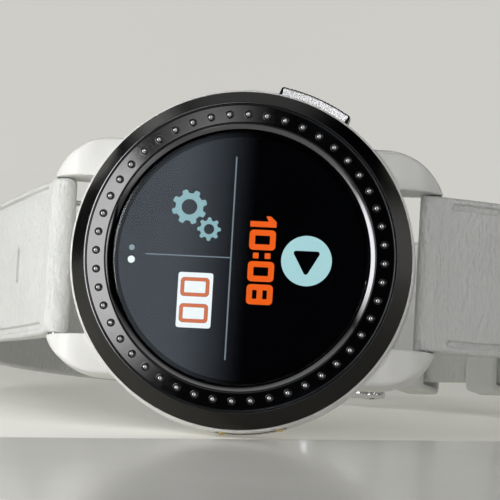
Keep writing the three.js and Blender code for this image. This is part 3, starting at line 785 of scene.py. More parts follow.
def build_stud_band():
    """The glossy ring with its studs: a fine polar grid, raised into a dome with a groove round it."""
    around_tile = np.linspace(-1, 1, 60, endpoint=False)
    rim_width = 0.12
    rim_steps = np.array([0, 0.01, 0.03, 0.07, rim_width])
    stud_from, stud_to = STUD_PITCH_R - 0.62, STUD_PITCH_R + 0.62
    radial = np.concatenate([
        INSERT_R + rim_steps,
        np.linspace(INSERT_R + 0.3, stud_from, 4, endpoint=False),
        np.linspace(stud_from, stud_to, 34),
        np.linspace(stud_to, INSERT_OUTER_R - rim_width, 4, endpoint=False)[1:],
        INSERT_OUTER_R - rim_steps[::-1],
    ])
    edge = np.minimum(radial - INSERT_R, INSERT_OUTER_R - radial).clip(0, rim_width) / rim_width
    rim = rim_width * (1 - np.sqrt(1 - (1 - edge) ** 2))
    # Steps round the ring are finer near each stud than between studs
    turns = np.concatenate([
        (i + 0.5 * np.sign(around_tile) * np.abs(around_tile) ** 1.35) * TURN / STUD_COUNT
        for i in range(STUD_COUNT)
    ])
    r, turn = np.meshgrid(radial, turns)
    nearest = np.round(turn / TURN * STUD_COUNT) * TURN / STUD_COUNT
    away = np.hypot(r * np.cos(turn - nearest) - STUD_PITCH_R, r * np.sin(turn - nearest)) / STUD_R
    dome = -0.2 * np.sqrt(np.clip(1 - (away / 0.72) ** 2, 0, 1))
    groove = 0.07 * np.exp(-(((away - 0.86) / 0.13) ** 2))
    y = band_top(r) + rim[None, :] + dome + groove
    top = np.stack([r * np.cos(turn), y, r * np.sin(turn)], -1).reshape(-1, 3)
    low = []
    for radius in (INSERT_OUTER_R, INSERT_R):
        depth = np.full_like(turns, band_top(radius) + INSERT_THICKNESS)
        low.append(np.stack([radius * np.cos(turns), depth, radius * np.sin(turns)], -1))
    points = np.concatenate([top, *low])
    count, total = len(radial), len(turns)
    faces = []
    for i in range(total):
        # Each spoke's points: those of the top from the inside out, then the lower outer and inner ones
        here, there = [
            [*range(j * count, (j + 1) * count), total * count + j, total * (count + 1) + j]
            for j in (i, (i + 1) % total)
        ]
        for k in range(count + 2):
            after = (k + 1) % (count + 2)
            faces.append((here[k], here[after], there[after], there[k]))
    piece("stud_band", new_mesh(points, faces), "case", BLACK, ["bezel_insert"], sharp=50,
          weighted=False)


def build_glass():
    bevel = rounded([
        (INSERT_R - 0.04, INSERT_TOP + 0.02, 0.02), (LENS_R + 0.12, INSERT_TOP + 0.36, 0.04),
        (LENS_R + 0.07, LENS_BACK, 0.05), (INSERT_R - 0.06, LENS_BACK, 0.05),
    ])
    piece("inner_bevel", lathe(bevel, 320), "case", MIRROR, ["inner_bezel"])
    pane = turned([
        (0.1, LENS_TOP, 0), (PANE_R - 0.4, LENS_TOP, 0), (PANE_R, LENS_TOP, 0), (PANE_R, LENS_BACK, 0),
        (PANE_R - 0.4, LENS_BACK, 0), (0.1, LENS_BACK, 0),
    ], 320)
    piece("cover_glass_pane", pane, "case", GLASS, ["lens"])
    edge = rounded([
        (PANE_R + 0.01, LENS_TOP + 0.05, 0.03), (LENS_R + 0.05, LENS_TOP + 0.05, 0.03),
        (LENS_R + 0.05, LENS_BACK, 0.03), (PANE_R + 0.01, LENS_BACK, 0.03),
    ])
    piece("glass_edge_seal", lathe(edge, 320), "case", PRINT)
    inner, front, back = 15.42, LENS_BACK + 0.015, LENS_BACK + 0.035
    border = [(inner, front), (PANE_R, front), (PANE_R, back), (inner, back)]
    piece("glass_border", lathe(border, 320), "case", PRINT)
    face = [
        (0, SCREEN_Y), (SCREEN_R - 0.4, SCREEN_Y), (SCREEN_R - 0.05, SCREEN_Y),
        (SCREEN_R, SCREEN_Y + 0.05), (SCREEN_R, -0.5), (0, -0.5),
    ]
    piece("screen_face", lathe(face), "case", SCREEN, ["touch_panel"])


# Signs on the screen: flat outlines in the screen's own x and z

SIGN_LIFT = 0.012  # how far a sign stands off the screen


def sign(name, loops, look):
    """A thin plate of closed (x, z) loops; a loop inside another is a hole."""
    curve = bpy.data.curves.new(name, "CURVE")
    curve.dimensions, curve.fill_mode, curve.extrude = "2D", "BOTH", 0.004
    for loop in loops:
        spline = curve.splines.new("POLY")
        spline.points.add(len(loop) - 1)
        for point, (x, z) in zip(spline.points, loop):
            point.co = (x, z, 0, 1)
        spline.use_cyclic_u = True
    holder = bpy.data.objects.new("holder", curve)
    bpy.context.scene.collection.objects.link(holder)
    graph = bpy.context.evaluated_depsgraph_get()
    mesh = bpy.data.meshes.new_from_object(holder.evaluated_get(graph))
    bpy.data.objects.remove(holder)
    bpy.data.curves.remove(curve)
    moved(mesh, shift(y=SCREEN_Y - SIGN_LIFT) @ Matrix.Rotation(math.pi / 2, 4, "X"))
    piece(name, faced(mesh, 1e-5), "case", look, sharp=30, weighted=False)


def circle(x, z, radius, count=48, first=0.0):
    angles = [first + TURN * k / count for k in range(count)]
    return [(x + radius * math.cos(a), z + radius * math.sin(a)) for a in angles]


def rectangle(x0, z0, x1, z1, radius=0.05):
    return rounded([(x0, z0), (x1, z0), (x1, z1), (x0, z1)], radius)


def gear(x, z, outer, root, hole, first, teeth=8):
    """A cog with straight sided teeth and a round hole."""
    corners = []
    for i in range(teeth):
        middle = math.radians(first) + i * TURN / teeth
        for offset, radius in ((-0.29, root), (-0.19, outer), (0.19, outer), (0.29, root)):
            angle = middle + offset * TURN / teeth
            corners.append((x + radius * math.cos(angle), z + radius * math.sin(angle)))
    return [rounded(corners, 0.16, 3), circle(x, z, hole)]


def digit(kind, start, width, base, tall, stroke):
    """Loops of a block digit that reads down the screen, its top towards +X."""
    def loop(left, low, right, high, radius):
        return rectangle(base + low, start - right, base + high, start - left, radius)

    outer = loop(0, 0, width, tall, 0.5)
    if kind == "0":
        return [outer, loop(stroke, stroke, width - stroke, tall - stroke, 0.1)]
    if kind == "8":
        middle = (tall - stroke) / 2
        return [outer, loop(stroke, stroke, width - stroke, middle, 0.08),
                loop(stroke, middle + stroke, width - stroke, tall - stroke, 0.08)]
    if kind == "1":
        top, outside, inside = base + tall, start - width, start - width + stroke
        flag = [(base, outside), (top, outside), (top, inside), (top - 0.75, start), (top - 1.35, start),
                (top - 1.0, inside), (base, inside)]
        return [rounded(flag, 0.06, 2)]
    dots = (0.55, tall - 0.55 - width)
    return [loop(0, dot, width, dot + width, 0.1) for dot in dots]


def build_signs():
    orange, teal, pale = (1.0, 0.135, 0.010), (0.29, 0.50, 0.54), (0.44, 0.74, 0.77)
    slate, white = (0.19, 0.24, 0.28), (1.0, 1.07, 1.08)
    grid = [rectangle(-1.36, -12.85, -1.18, 12.9, 0.02), rectangle(-12.0, -0.02, -1.36, 0.13, 0.02)]
    sign("screen_lines", grid, lit("lit_slate", slate))
    sign("large_cog", gear(-6.86, 6.25, 2.24, 1.76, 0.99, 18), lit("lit_teal", teal))
    sign("small_cog", gear(-4.23, 3.54, 1.50, 1.14, 0.65, 0), lit("lit_teal_small", teal))
    sign("page_mark", [circle(-13.79, 0.78, 0.36)], lit("lit_grey", (0.27, 0.38, 0.41)))
    sign("page_mark_now", [circle(-13.78, -0.74, 0.45)], lit("lit_white", white))
    holes, digits = [], []
    base, width, tall, stroke, gap = -7.36, 2.38, 3.6, 0.45, 0.02
    for top in (-2.66, -5.97):
        outer = digit("0", top, width, base, tall, stroke)[0]
        inner = rectangle(base + stroke, top - width + stroke, base + tall - stroke, top - stroke, 0.12)
        digits += [outer, inner]
        holes.append(rectangle(base - gap, top - width - gap, base + tall + gap, top + gap, 0.5))
        holes.append(shrunk(inner, gap))
    sign("score_card", [rectangle(-7.71, -9.01, -3.33, -2.03, 0.32), *holes], lit("lit_card", white))
    sign("score_digits", digits, lit("lit_score", (0.70, 0.18, 0.07)))
    start, loops = 5.52, []
    for kind, width in (("1", 1.4), ("0", 2.55), (":", 0.72), ("0", 2.55), ("8", 2.55)):
        loops += digit(kind, start, width, 0.92, 3.3, 0.72)
        start -= width + 0.36
    sign("clock_digits", loops, lit("lit_orange", orange, 0.95))
    arrow = rounded([(6.35, 1.35), (10.05, 1.35), (8.2, -1.95)], 0.3)
    sign("play_sign", [circle(8.22, 0.10, 3.18, 96), arrow], lit("lit_pale", pale))


def shrunk(loop, by):
    """The loop pulled in towards its middle."""
    middle = np.mean(loop, axis=0)
    return [p + (middle - p) / np.linalg.norm(middle - p) * by for p in np.array(loop)]


# Button, contacts and back

def button_field(x, y, z):
    """A curved bar with fine ribs on its outer face, which run along y."""
    r = np.hypot(x, z)
    out, across = on_button(x, z)
    ribs = 0.05 * np.abs(np.sin(math.pi * across / 0.5))
    ends = np.clip((BUTTON_HALF - 0.5 - np.abs(across)) / 0.2, 0, 1)
    bar = meet(r - BUTTON_OUT_R + ribs * ends, BUTTON_IN_R - r, 0.15)
    sides = [(across, -BUTTON_HALF, BUTTON_HALF), (y, BUTTON_Y - BUTTON_DEPTH, BUTTON_Y + BUTTON_DEPTH)]
    bar = meet(bar, box_field(sides, 0.3), 0.25)
    stem_hole = np.maximum(np.hypot(across, y - BUTTON_Y) - 0.8, out - 22.1)
    return without(np.maximum(bar, -out), stem_hole, 0.05)


def contact_field(x, y, z):
    r = np.hypot(x, z)
    out, across = on_button(x, z, CONTACT_ANGLE)
    low, high = CONTACT_Y - CONTACT_DEPTH, CONTACT_Y + CONTACT_DEPTH
    bar = box_field([(across, -CONTACT_HALF, CONTACT_HALF), (y, low, high)])
    bar = meet(meet(bar, r - CASE_R + 0.1, 0.1), 20.45 - out, 0.1)
    for i in range(CONTACT_COUNT):
        bar = without(bar, np.hypot(across - contact_place(i), y - CONTACT_Y) - 0.6, 0.05)
    return bar


def screw_field(x, y, z):
    """A pan head with a cross recess, on a plain shank."""
    r = np.hypot(x, z)
    head = meet(r - 1.2, np.maximum(8.3 - y, y - 8.75), 0.18)
    shank = meet(r - 0.58, np.maximum(5.7 - y, y - 8.5), 0.1)
    x, z = np.abs(x), np.abs(z)
    cross = np.minimum(np.maximum(x - 0.14, z - 0.72), np.maximum(z - 0.14, x - 0.72))
    return without(either(head, shank, 0.1), np.maximum(cross, 8.45 - y), 0.05)


def solid_at(field, angle, radius, half, y, half_y, pitch):
    """The solid of a field that fills a box about a place on the case's side."""
    reach = half + 0.3
    x, z = radius * math.cos(angle), radius * math.sin(angle)
    return solid(field, (x - reach, y - half_y, z - reach), (x + reach, y + half_y, z + reach), pitch)


def build_button():
    bar = solid_at(button_field, BUTTON_ANGLE, 22, BUTTON_HALF, BUTTON_Y, BUTTON_DEPTH, 0.085)
    piece("button_face", bar, "button", KNURLED, ["button_cap"], weighted=False)


def build_contacts():
    housing = solid_at(contact_field, CONTACT_ANGLE, 21, CONTACT_HALF, CONTACT_Y, CONTACT_DEPTH, 0.12)
    piece("contact_housing", housing, "case", BLACK_PLASTIC, ["contact_block"],
          weighted=False)
    tip = CASE_R - 0.15
    for i in range(CONTACT_COUNT):
        pin = turned([(0.05, 19.4, 0), (0.5, 19.4, 0.1), (0.5, tip, 0.18), (0.05, tip, 0)], 48)
        moved(pin, ALONG_X, shift(y=CONTACT_Y, z=contact_place(i)), around(CONTACT_ANGLE))
        piece(f"contact_pin_{i + 1}", pin, "case", GOLD, [f"charge_contact_{i + 1}"])


def build_back():
    """The steel cover: a turned dish with two shallow rings, counterbored for its screws."""
    rings = []
    for radius in (12.2, 5.6):
        rings += [(radius + 0.32, COVER_BACK, 0.03), (radius + 0.2, COVER_BACK - 0.1, 0.06),
                  (radius - 0.2, COVER_BACK - 0.1, 0.06), (radius - 0.32, COVER_BACK, 0.03)]
    cover = turned([
        (0.1, 7.3, 0), (14.6, 7.3, 0.1), (14.6, 7.7, 0.05), (COVER_R, 7.7, 0.05), (COVER_R, 8.5, 0.12),
        (COVER_R - 0.35, COVER_BACK, 0.2), *rings, (0.1, COVER_BACK, 0),
    ], 256)
    counterbore = [
        (0, 7), (0.75, 7), (0.75, 8.25), (1.35, 8.25), (1.35, 8.78), (1.5, 8.93), (1.5, 10), (0, 10),
    ]
    cuts = [
        moved(lathe(counterbore, 48), shift(SCREW_PITCH_R), around(screw_angle(i)))
        for i in range(SCREW_COUNT)
    ]
    cover = boolean(cover, [joined(cuts)])
    piece("back_cover", cover, "case", TURNED_STEEL, ["case_back"], sharp=28)
    screw = solid(screw_field, (-1.2, 5.7, -1.2), (1.2, 8.75, 1.2), 0.07)
    for i in range(SCREW_COUNT):
        slot = Matrix.Rotation(1.1 * i + 0.4, 4, "Y")
        placed = moved(screw.copy(), slot, shift(SCREW_PITCH_R), around(screw_angle(i)))
        piece(f"back_screw_{i + 1}", placed, "case", STEEL, [f"case_screw_{i + 1}"],
              weighted=False)


# ---- Strap halves ----

def smooth(value, low, high):
    share = np.clip((value - low) / (high - low), 0, 1)
    return share * share * (3 - 2 * share)


def half_width(s):
    return STRAP_HALF + (STRAP_END_HALF - STRAP_HALF) * smooth(s, 3, 30)


def half_thickness(s):
    return ROOT_THICK + (STRAP_THICK - ROOT_THICK) * smooth(s, 3, 20)


def rolled(distance, radius, flat):
    """Half thickness this far inwards of a bar: a round roll that runs into the flat strap."""
    near = 0.5 * radius
    if distance < near:
        return math.sqrt(max(radius**2 - distance**2, 1e-6))
    edge = math.sqrt(radius**2 - near**2)
    return edge + (flat - edge) * float(smooth(distance, near, 1.75 * radius))


def band(route, end, groove_to, tip=False):
    """A strap half as a closed tube of stations, with crowned faces, grooves and fine relief."""
    near = 0.004 - ROLL_R + ROLL_R * (1 - np.cos(np.linspace(0, math.pi / 2, 12)))
    middle = np.arange(near[-1] + 0.2, end - 1.8, 0.24)
    far = end - 1.7 * (1 - np.sin(np.linspace(0, math.pi / 2, 14)))
    stations = np.concatenate([near, middle, far])
    fine = np.sort(np.concatenate([
        np.linspace(-1, 1, 41), *(side * np.linspace(0.868, 0.992, 19) for side in (-1, 1)),
    ]))
    turn = np.linspace(0, math.pi / 2, 6)[1:-1]
    points, marks = [], []
    for s in stations:
        at = route.at(s)
        width, thick = float(half_width(s)), float(half_thickness(s))
        if s < 2 * ROLL_R:
            thick = rolled(s, ROLL_R, ROOT_THICK)
        inwards = end - BUCKLE_ROLL_R - s
        if not tip and inwards < 2 * BUCKLE_ROLL_R:
            thick = rolled(inwards, BUCKLE_ROLL_R, STRAP_THICK)
        if tip:
            share = max(0.0, (s - end + TIP_LENGTH) / TIP_LENGTH)
            width *= math.sqrt(max(1 - (0.995 * share) ** 2, 1e-4))
            thick *= 0.35 + 0.65 * min(1.0, (end - s + 0.05) / 0.6) ** 0.5
        edge = min(0.5, 0.9 * thick, 0.9 * width)
        flat = width - edge
        z = fine * flat
        crown = 1 - 0.05 * np.abs(fine) ** 4
        channel = np.abs(np.abs(z) / width * 10 - 8.83)
        along = max(0, 2.75 - s, s - groove_to)
        depth = 0.5 * (1 - smooth(np.hypot(channel, along), 0.3, 0.5))
        waves = relief(s, z, route.outward)
        upper = thick * crown - (depth if thick > 0.8 else 0) + waves
        lower = -thick * crown - 0.4 * waves
        corner_top = [(flat + edge * math.sin(a), edge * math.cos(a)) for a in turn]
        loop = list(zip(z, upper))
        loop += [(w, upper[-1] - edge + h) for w, h in corner_top]
        loop += [(w, lower[-1] + edge - h) for w, h in reversed(corner_top)]
        loop += list(zip(z[::-1], lower[::-1]))
        loop += [(-w, lower[0] + edge - h) for w, h in corner_top]
        loop += [(-w, upper[0] - edge + h) for w, h in reversed(corner_top)]
        for w, h in loop:
            points.append(at @ Vector((0, h, w)))
            marks.append((s, w, h))
    mesh = bpy.data.meshes.new("shape")
    mesh.from_pydata(points, [], tube_faces(len(stations), len(points) // len(stations)))
    place = mesh.attributes.new("on_strap", "FLOAT_VECTOR", "POINT")
    place.data.foreach_set("vector", np.array(marks, np.float32).ravel())
    return faced(mesh)


def relief(s, z, seed):
    """Low ripples across the strap, each one a little crooked."""
    bend = 0.35 * np.sin(0.55 * z + 0.9 * s * 0.31 + seed) + 0.2 * np.sin(1.3 * z - 0.7 * s)
    ripple = np.sin(4.6 * s + 2.2 * bend) * (0.6 + 0.4 * np.sin(0.37 * s + 0.8 * z + seed))
    return 0.016 * ripple * (1 if s > 4 else max(0.0, (s - 2.6) / 1.4))


def strap_cuts(route):
    """The bore for the spring bar and the notch for its knob."""
    bore = moved(disc(BAR_R + 0.11, -12, 12, 48), ALONG_Z, route.at(0))
    notch = moved(block((-0.65, -3, KNOB_Z - 1.9), (0.65, 0, KNOB_Z + 0.7)), route.at(0))
    return [bore, notch]


def build_straps():
    short_end, long_end = SHORT.length, LONG.length
    cuts = strap_cuts(SHORT)
    at_end = SHORT.at(short_end)
    cuts.append(moved(disc(BUCKLE_BAR_R + 0.08, -12, 12, 48), ALONG_Z, at_end))
    cuts.append(moved(block((-5, -4, -TONGUE_HALF - 0.3), (3, 4, TONGUE_HALF + 0.3)), at_end))
    short = boolean(band(SHORT, short_end + BUCKLE_ROLL_R, short_end - 12), cuts)
    cuts = strap_cuts(LONG)
    for i in range(HOLE_COUNT):
        cuts.append(moved(disc(HOLE_R, -3, 3, 40), LONG.at(long_end - HOLE_MARGIN - i * HOLE_PITCH)))
    cuts.append(moved(block((-0.25, 0.92, -2), (0.25, 2, 2)), LONG.at(SLIT_PLACE)))
    long = boolean(band(LONG, long_end, long_end - 9, tip=True), cuts)
    for name, half in (("strap_short", short), ("strap_long", long)):
        piece(f"{name}_band", half, name, SILICONE, [name], sharp=50, weighted=False)


# ---- Spring bars, buckle and keepers ----

def build_spring_bar(name, route):
    at = route.at(0)
    body = f"strap_{name}"
    tube = turned([
        (0.05, -BAR_TIP, 0), (0.45, -BAR_TIP, 0.12), (0.45, -8.9, 0.03), (BAR_R, -8.9, 0.08),
        (BAR_R, 8.9, 0.08), (0.56, 8.9, 0.03), (0.56, 0.6, 0.05), (0.05, 0.6, 0),
    ], 64, steps=3)
    slot = block((-0.42, -2, KNOB_Z - 1.65), (0.42, 0, KNOB_Z + 0.45))
    tube = boolean(moved(tube, ALONG_Z), [slot])
    piece(f"spring_bar_{name}", moved(tube, at), body, STEEL, [f"bar_tube_{name}"],
          sharp=30)
    pin = turned([
        (0.05, 4.7, 0), (0.5, 4.7, 0.08), (0.5, 8, 0.05), (0.43, 8.2, 0.05), (0.43, BAR_TIP, 0.15),
        (0.05, BAR_TIP, 0),
    ], 48, steps=3)
    knob = turned([(0.05, -2.9, 0), (0.33, -2.9, 0.14), (0.33, 0, 0), (0.05, 0, 0)], 32)
    pin = boolean(moved(pin, ALONG_Z), [moved(knob, shift(z=KNOB_Z))], "UNION")
    piece(f"release_lever_{name}", moved(pin, at), f"release_pin_{name}", STEEL,
          [f"release_pin_{name}"], sharp=30)


def coil(radius, wire, length, turns, sides=10):
    """A coil spring that stands on y = 0, of wire with this radius."""
    steps = turns * 28
    points = []
    for i in range(steps + 1):
        angle = TURN * turns * i / steps
        y = wire + (length - 2 * wire) * i / steps
        for k in range(sides):
            around_wire = TURN * k / sides
            r = radius + wire * math.cos(around_wire)
            points.append((r * math.cos(angle), y + wire * math.sin(around_wire), r * math.sin(angle)))
    return new_mesh(points, tube_faces(steps + 1, sides))


def build_spring(name, mesh, place, body, node):
    """A spring made along Y and put in its place, on a mesh of its own."""
    spring = piece(name, moved(mesh, place), body, STEEL, [node], weighted=False)
    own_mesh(spring)


def build_springs():
    at_button = around(BUTTON_ANGLE) @ shift(x=18.7, y=BUTTON_Y) @ ALONG_X
    build_spring("button_return_spring", coil(1.02, 0.12, 2.5, 4), at_button, "case", "button_spring")
    for name, route in (("short", SHORT), ("long", LONG)):
        in_bar = route.at(0) @ shift(z=0.7) @ ALONG_Z
        build_spring(f"pin_return_spring_{name}", coil(0.36, 0.09, 3.9, 5), in_bar, f"strap_{name}",
                     f"pin_spring_{name}")


def buckle_field(x, y, z):
    """A rounded metal frame with an eye at each end for its bar."""
    corner = 2.5
    past_x, past_z = x - BUCKLE_LENGTH + corner, np.abs(z) - BUCKLE_HALF + corner
    outer = np.maximum(np.hypot(np.maximum(past_x, 0), np.maximum(past_z, 0)) - corner, -x)
    opening = [(x, -5, BUCKLE_LENGTH - 2.2), (z, -BUCKLE_INNER_HALF, BUCKLE_INNER_HALF)]
    hoop = meet(meet(outer, -box_field(opening, 1.0), 0.7), np.abs(y) - BUCKLE_THICK, 0.8)
    middle = (BUCKLE_HALF + BUCKLE_INNER_HALF) / 2
    eye = meet(np.hypot(x, y) - BUCKLE_ROLL_R, np.abs(np.abs(z) - middle) - 1, 0.35)
    return without(either(hoop, eye, 0.5), np.hypot(x, y) - 0.8, 0.12)


def tongue_field(x, y, z):
    rest = BUCKLE_THICK + 0.1
    tip, shoulder = (TONGUE_TIP, rest + 0.35), TONGUE_TIP - 0.3
    under = [(-0.5, 0.0), (0.9, 0.2), (9, rest), (shoulder, rest), tip]
    over = [tip, (shoulder, rest + 0.9), (9, rest + 0.95), (3, 1.75), (-0.5, 1.2)]
    blade = meet(convex(under, x, y, 0.2), convex(over, x, y, 0.3), 0.2)
    blade = np.maximum(blade, 0.3 - x)
    narrow = TONGUE_HALF - 0.25 * smooth(x, 2, 10)
    eye = np.hypot(x, y) - TONGUE_EYE_R
    tongue = meet(either(blade, eye, 0.3), np.abs(z) - narrow, 0.45)
    return without(tongue, np.hypot(x, y) - 0.8, 0.08)


def build_buckle():
    at = SHORT.at(SHORT.length)
    low, high = -BUCKLE_ROLL_R, BUCKLE_ROLL_R
    metal = solid(buckle_field, (low, low, -BUCKLE_HALF), (BUCKLE_LENGTH, high, BUCKLE_HALF), 0.17)
    piece("buckle_metal", moved(metal, at), "buckle", STEEL, ["buckle_frame"],
          weighted=False)
    low, high = (-TONGUE_EYE_R, -TONGUE_EYE_R, -TONGUE_HALF), (TONGUE_TIP, 2.1, TONGUE_HALF)
    tongue = solid(tongue_field, low, high, 0.11)
    piece("tongue_metal", moved(tongue, at), "tongue", STEEL, ["buckle_tongue"],
          weighted=False)
    bar = turned([
        (0.05, -11.2, 0), (BUCKLE_BAR_R, -11.2, 0.2), (BUCKLE_BAR_R, 11.2, 0.2), (0.05, 11.2, 0),
    ], 48)
    piece("buckle_pin", moved(bar, ALONG_Z, at), "strap_short", STEEL, ["buckle_bar"])


def keeper_field(x, y, z):
    """A soft loop, a little pulled in at the middle of its long sides."""
    middle, tall = (KEEPER_LOW + KEEPER_HIGH) / 2, (KEEPER_HIGH - KEEPER_LOW) / 2
    pull = 0.12 * np.cos(np.clip(z / KEEPER_HALF, -1, 1) * math.pi / 2)
    past_y, past_z = np.abs(y - middle) - tall, np.abs(z) - KEEPER_HALF
    corner = np.hypot(np.maximum(past_y + 0.3, 0), np.maximum(past_z + 0.3, 0)) - 0.3
    inside = np.minimum(corner, np.maximum(past_y, past_z))
    outer = meet(past_y - KEEPER_WALL + pull, past_z - KEEPER_WALL, 1.1)
    return meet(without(outer, inside, 0.35), np.abs(x) - KEEPER_LENGTH / 2, 0.5)


def build_keepers():
    half_length, reach = KEEPER_LENGTH / 2, KEEPER_HALF + KEEPER_WALL
    low = (-half_length, KEEPER_LOW - KEEPER_WALL, -reach)
    loop = solid(keeper_field, low, (half_length, KEEPER_HIGH + KEEPER_WALL, reach), 0.17)
    fixed, free = SHORT.length - FIXED_KEEPER_GAP, SHORT_RUNS[0][0] + SHORT_RUNS[1][0]
    for name, body, distance in (("fixed", "strap_short", fixed), ("free", "keeper", free)):
        placed = moved(loop.copy(), SHORT.at(distance))
        piece(f"keeper_{name}_loop", placed, body, SILICONE, [f"keeper_{name}"],
              weighted=False)


def dress_inner_nodes():
    """Nodes that stay as they are, with materials of their own."""
    looks = {
        RUBBER: ["lens_gasket", "case_back_gasket", "button_seal"],
        SCREEN: ["display_module"],
        GOLD: ["display_flex"],
        BLACK_PLASTIC: ["inner_frame", "tact_switch"],
        BOARD: ["circuit_board"],
        CERAMIC: ["gps_antenna"],
        FOIL: ["battery"],
        STEEL: ["rf_shield", "vibration_motor", "button_stem", "button_clip"],
    }
    for look, names in looks.items():
        for name in names:
            materials = frame["nodes"][name].data.materials
            materials.clear()
            materials.append(look)


# ---- Room ----

FACE_MIDDLE = WATCH @ Vector((0, 0, 0))


def direction(azimuth, elevation):
    """Unit vector from the watch: azimuth 0 is towards the viewer (-Y), and positive is to the right."""
    azimuth, elevation = math.radians(azimuth), math.radians(elevation)
    level = math.cos(elevation)
    return Vector((math.sin(azimuth) * level, -math.cos(azimuth) * level, math.sin(elevation)))


def build_camera():
    """The camera's distance, tilt and roll about the watch's face."""
    azimuth, elevation, roll, distance = 4.13, 2.72, 2.58, 0.4454
    aim = WATCH @ Vector((0.99, 0, 1.30))
    data = bpy.data.cameras.new("camera")
    data.sensor_width, data.lens = 36, 255.4
    data.clip_start, data.clip_end = 0.01, 20
    camera = bpy.data.objects.new("camera", data)
    bpy.context.scene.collection.objects.link(camera)
    back = direction(azimuth, elevation)
    turned = back.to_track_quat("Z", "Y").to_matrix().to_4x4()
    camera.matrix_world = (
        Matrix.Translation(aim + back * distance) @ turned @ Matrix.Rotation(math.radians(roll), 4, "Z")
    )
    bpy.context.scene.camera = camera


def staged(name, corners, look):
    """A flat four cornered piece of the room."""
    mesh = bpy.data.meshes.new("plane")
    mesh.from_pydata(corners, [], [(0, 1, 2, 3)])
    uv = mesh.uv_layers.new(name="across")
    for loop, place in zip(uv.data, [(0, 0), (1, 0), (1, 1), (0, 1)]):
        loop.uv = place
    made = put(mesh, name)
    made.data.materials.append(look)
    return made


def glow(name, colour, strength, soft):
    """A light whose edges fade over `soft` of its width and height: left, right, low, high."""
    light = Nodes(name)
    light.tree.nodes.clear()
    parts = light.add("SeparateXYZ", Vector=light.add("UVMap").outputs[0])
    left, right, low, high = soft
    level = strength
    for axis, start, end in (("X", 0, left), ("X", 1, 1 - right), ("Y", 0, low), ("Y", 1, 1 - high)):
        fade = light.ramp(parts.outputs[axis], start, end, interpolation_type="SMOOTHSTEP")
        level = light.math("MULTIPLY", level, fade)
    emission = light.add("Emission", Color=(*colour, 1), Strength=level)
    light.add("OutputMaterial", Surface=emission.outputs[0])
    return light.material


def card(name, azimuth, elevation, distance, width, height, strength, soft=(0.3, 0.3, 0.3, 0.3),
         colour=(1, 1, 1)):
    """A light panel that faces the watch. Width and height are angles, in degrees, seen from it."""
    out = direction(azimuth, elevation)
    right = Vector((0, 0, 1)).cross(out).normalized()
    right *= distance * math.tan(math.radians(width / 2))
    up = out.cross(right).normalized() * distance * math.tan(math.radians(height / 2))
    middle = FACE_MIDDLE + out * distance
    corners = [middle + right * u + up * v for u, v in ((-1, -1), (1, -1), (1, 1), (-1, 1))]
    made = staged(name, corners, glow(name, colour, strength, soft))
    made.visible_camera = False
    made.visible_shadow = False


PAPER_GLOW, TABLE_GLOW = 0.5, 0.14
EDGE_Y, EDGE_SLOPE = -0.0365, 0.45  # where the glossy table top meets the paper behind it


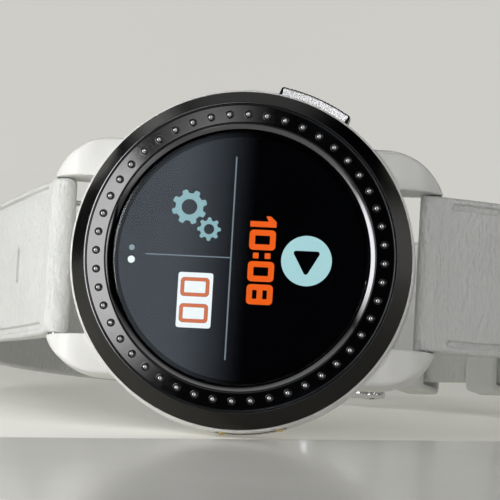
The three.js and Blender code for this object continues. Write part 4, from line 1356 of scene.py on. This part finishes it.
def build_floor():
    """A glossy pale table top with matt paper behind it, and a plain wall."""
    top = Look("table", IOR=1.45)
    parts = top.add("SeparateXYZ", Vector=top.row)
    slope = top.math("MULTIPLY", parts.outputs["X"], -EDGE_SLOPE)
    line = top.math("ADD", parts.outputs["Y"], slope)
    behind = top.ramp(line, EDGE_Y - 0.0004, EDGE_Y + 0.0004)
    before = top.math("SUBTRACT", 1.0, behind)
    far = top.ramp(parts.outputs["Y"], -0.03, 0.6, interpolation_type="SMOOTHSTEP")
    tone = top.mix(top.span(top.noise(0.01, 2.0), 0, 1), (0.69, 0.685, 0.655), (0.73, 0.725, 0.695))
    top.tones(far, tone, (0.02, 0.02, 0.02))
    top.tones(far, (0.40, 0.393, 0.345), (0.612, 0.604, 0.567), "Emission Color")
    paper = top.math("ADD", top.math("MULTIPLY", far, 1 - PAPER_GLOW), PAPER_GLOW)
    paper = top.math("MULTIPLY", behind, paper)
    top.link("Emission Strength", top.math("ADD", paper, top.math("MULTIPLY", before, TABLE_GLOW)))
    top.link("Roughness", top.math("MAXIMUM", top.span(top.noise(0.05, 3.0), 0.17, 0.20), behind))
    top.link("Specular IOR Level", top.math("MULTIPLY", before, 0.5))
    top.bump(top.noise(0.5, 3.0), 0.004)
    staged("table", [(-1.6, -1.3, 0), (1.6, -1.3, 0), (1.6, 1.05, 0), (-1.6, 1.05, 0)], top.material)
    wall = Look("backdrop", roughness=1.0)
    wall.uneven(wall.noise(0.002, 1.0), (0.0, 0.0, 0.0), (0.01, 0.01, 0.01))
    shade = wall.span(wall.noise(0.003, 1.0), 0, 1)
    wall.tones(shade, (0.600, 0.592, 0.555), (0.625, 0.617, 0.580), "Emission Color")
    wall.link("Emission Strength", 1.0)
    corners = [(-0.8, 1.05, -0.2), (0.8, 1.05, -0.2), (0.8, 1.05, 0.4), (-0.8, 1.05, 0.4)]
    staged("backdrop", corners, wall.material)


def build_light():
    world = bpy.data.worlds.new("room")
    world.use_nodes = True
    sky = world.node_tree.nodes["Background"].inputs
    sky["Color"].default_value, sky["Strength"].default_value = (0.85, 0.93, 1.0, 1), 0.004
    bpy.context.scene.world = world
    card("window_front", 6.2, 17.5, 1.1, 13.6, 20, 11.0, (0.26, 0.3, 0.35, 0.3))
    card("window_low", -1.2, 9.2, 1.1, 9, 8.5, 3.8, (0.4, 0.3, 0.4, 0.4))
    card("glow_front", -6.5, 18.5, 1.1, 4.4, 14, 0.95, (0.2, 0.45, 0.35, 0.3), (0.82, 0.93, 1.08))
    card("softbox_left", -60, 10, 0.12, 40, 50, 6.1)
    card("strip_left", -99, 15, 0.9, 14, 44, 4.5)
    card("glow_left_top", -106, 47, 0.9, 30, 22, 2.2)
    card("softbox_top", -10, 55, 0.9, 100, 56, 0.8)
    card("softbox_right", 36, 16, 0.9, 26, 28, 3.0)
    card("glow_right", 113, 10, 0.9, 34, 44, 1.15)
    card("glow_back", -172, 47, 0.9, 50, 26, 0.36)
    card("glow_back_left", -142, 36, 0.9, 22, 13, 1.2)


bpy.context.scene.view_settings.view_transform = "Standard"
for build in (
    build_camera, build_floor, build_light, build_case, build_bezel, build_stud_band, build_glass,
    build_signs, build_button, build_contacts, build_back, build_straps,
):
    build()
for bar_name, bar_route in (("short", SHORT), ("long", LONG)):
    build_spring_bar(bar_name, bar_route)
for build in (build_springs, build_buckle, build_keepers, dress_inner_nodes):
    build()
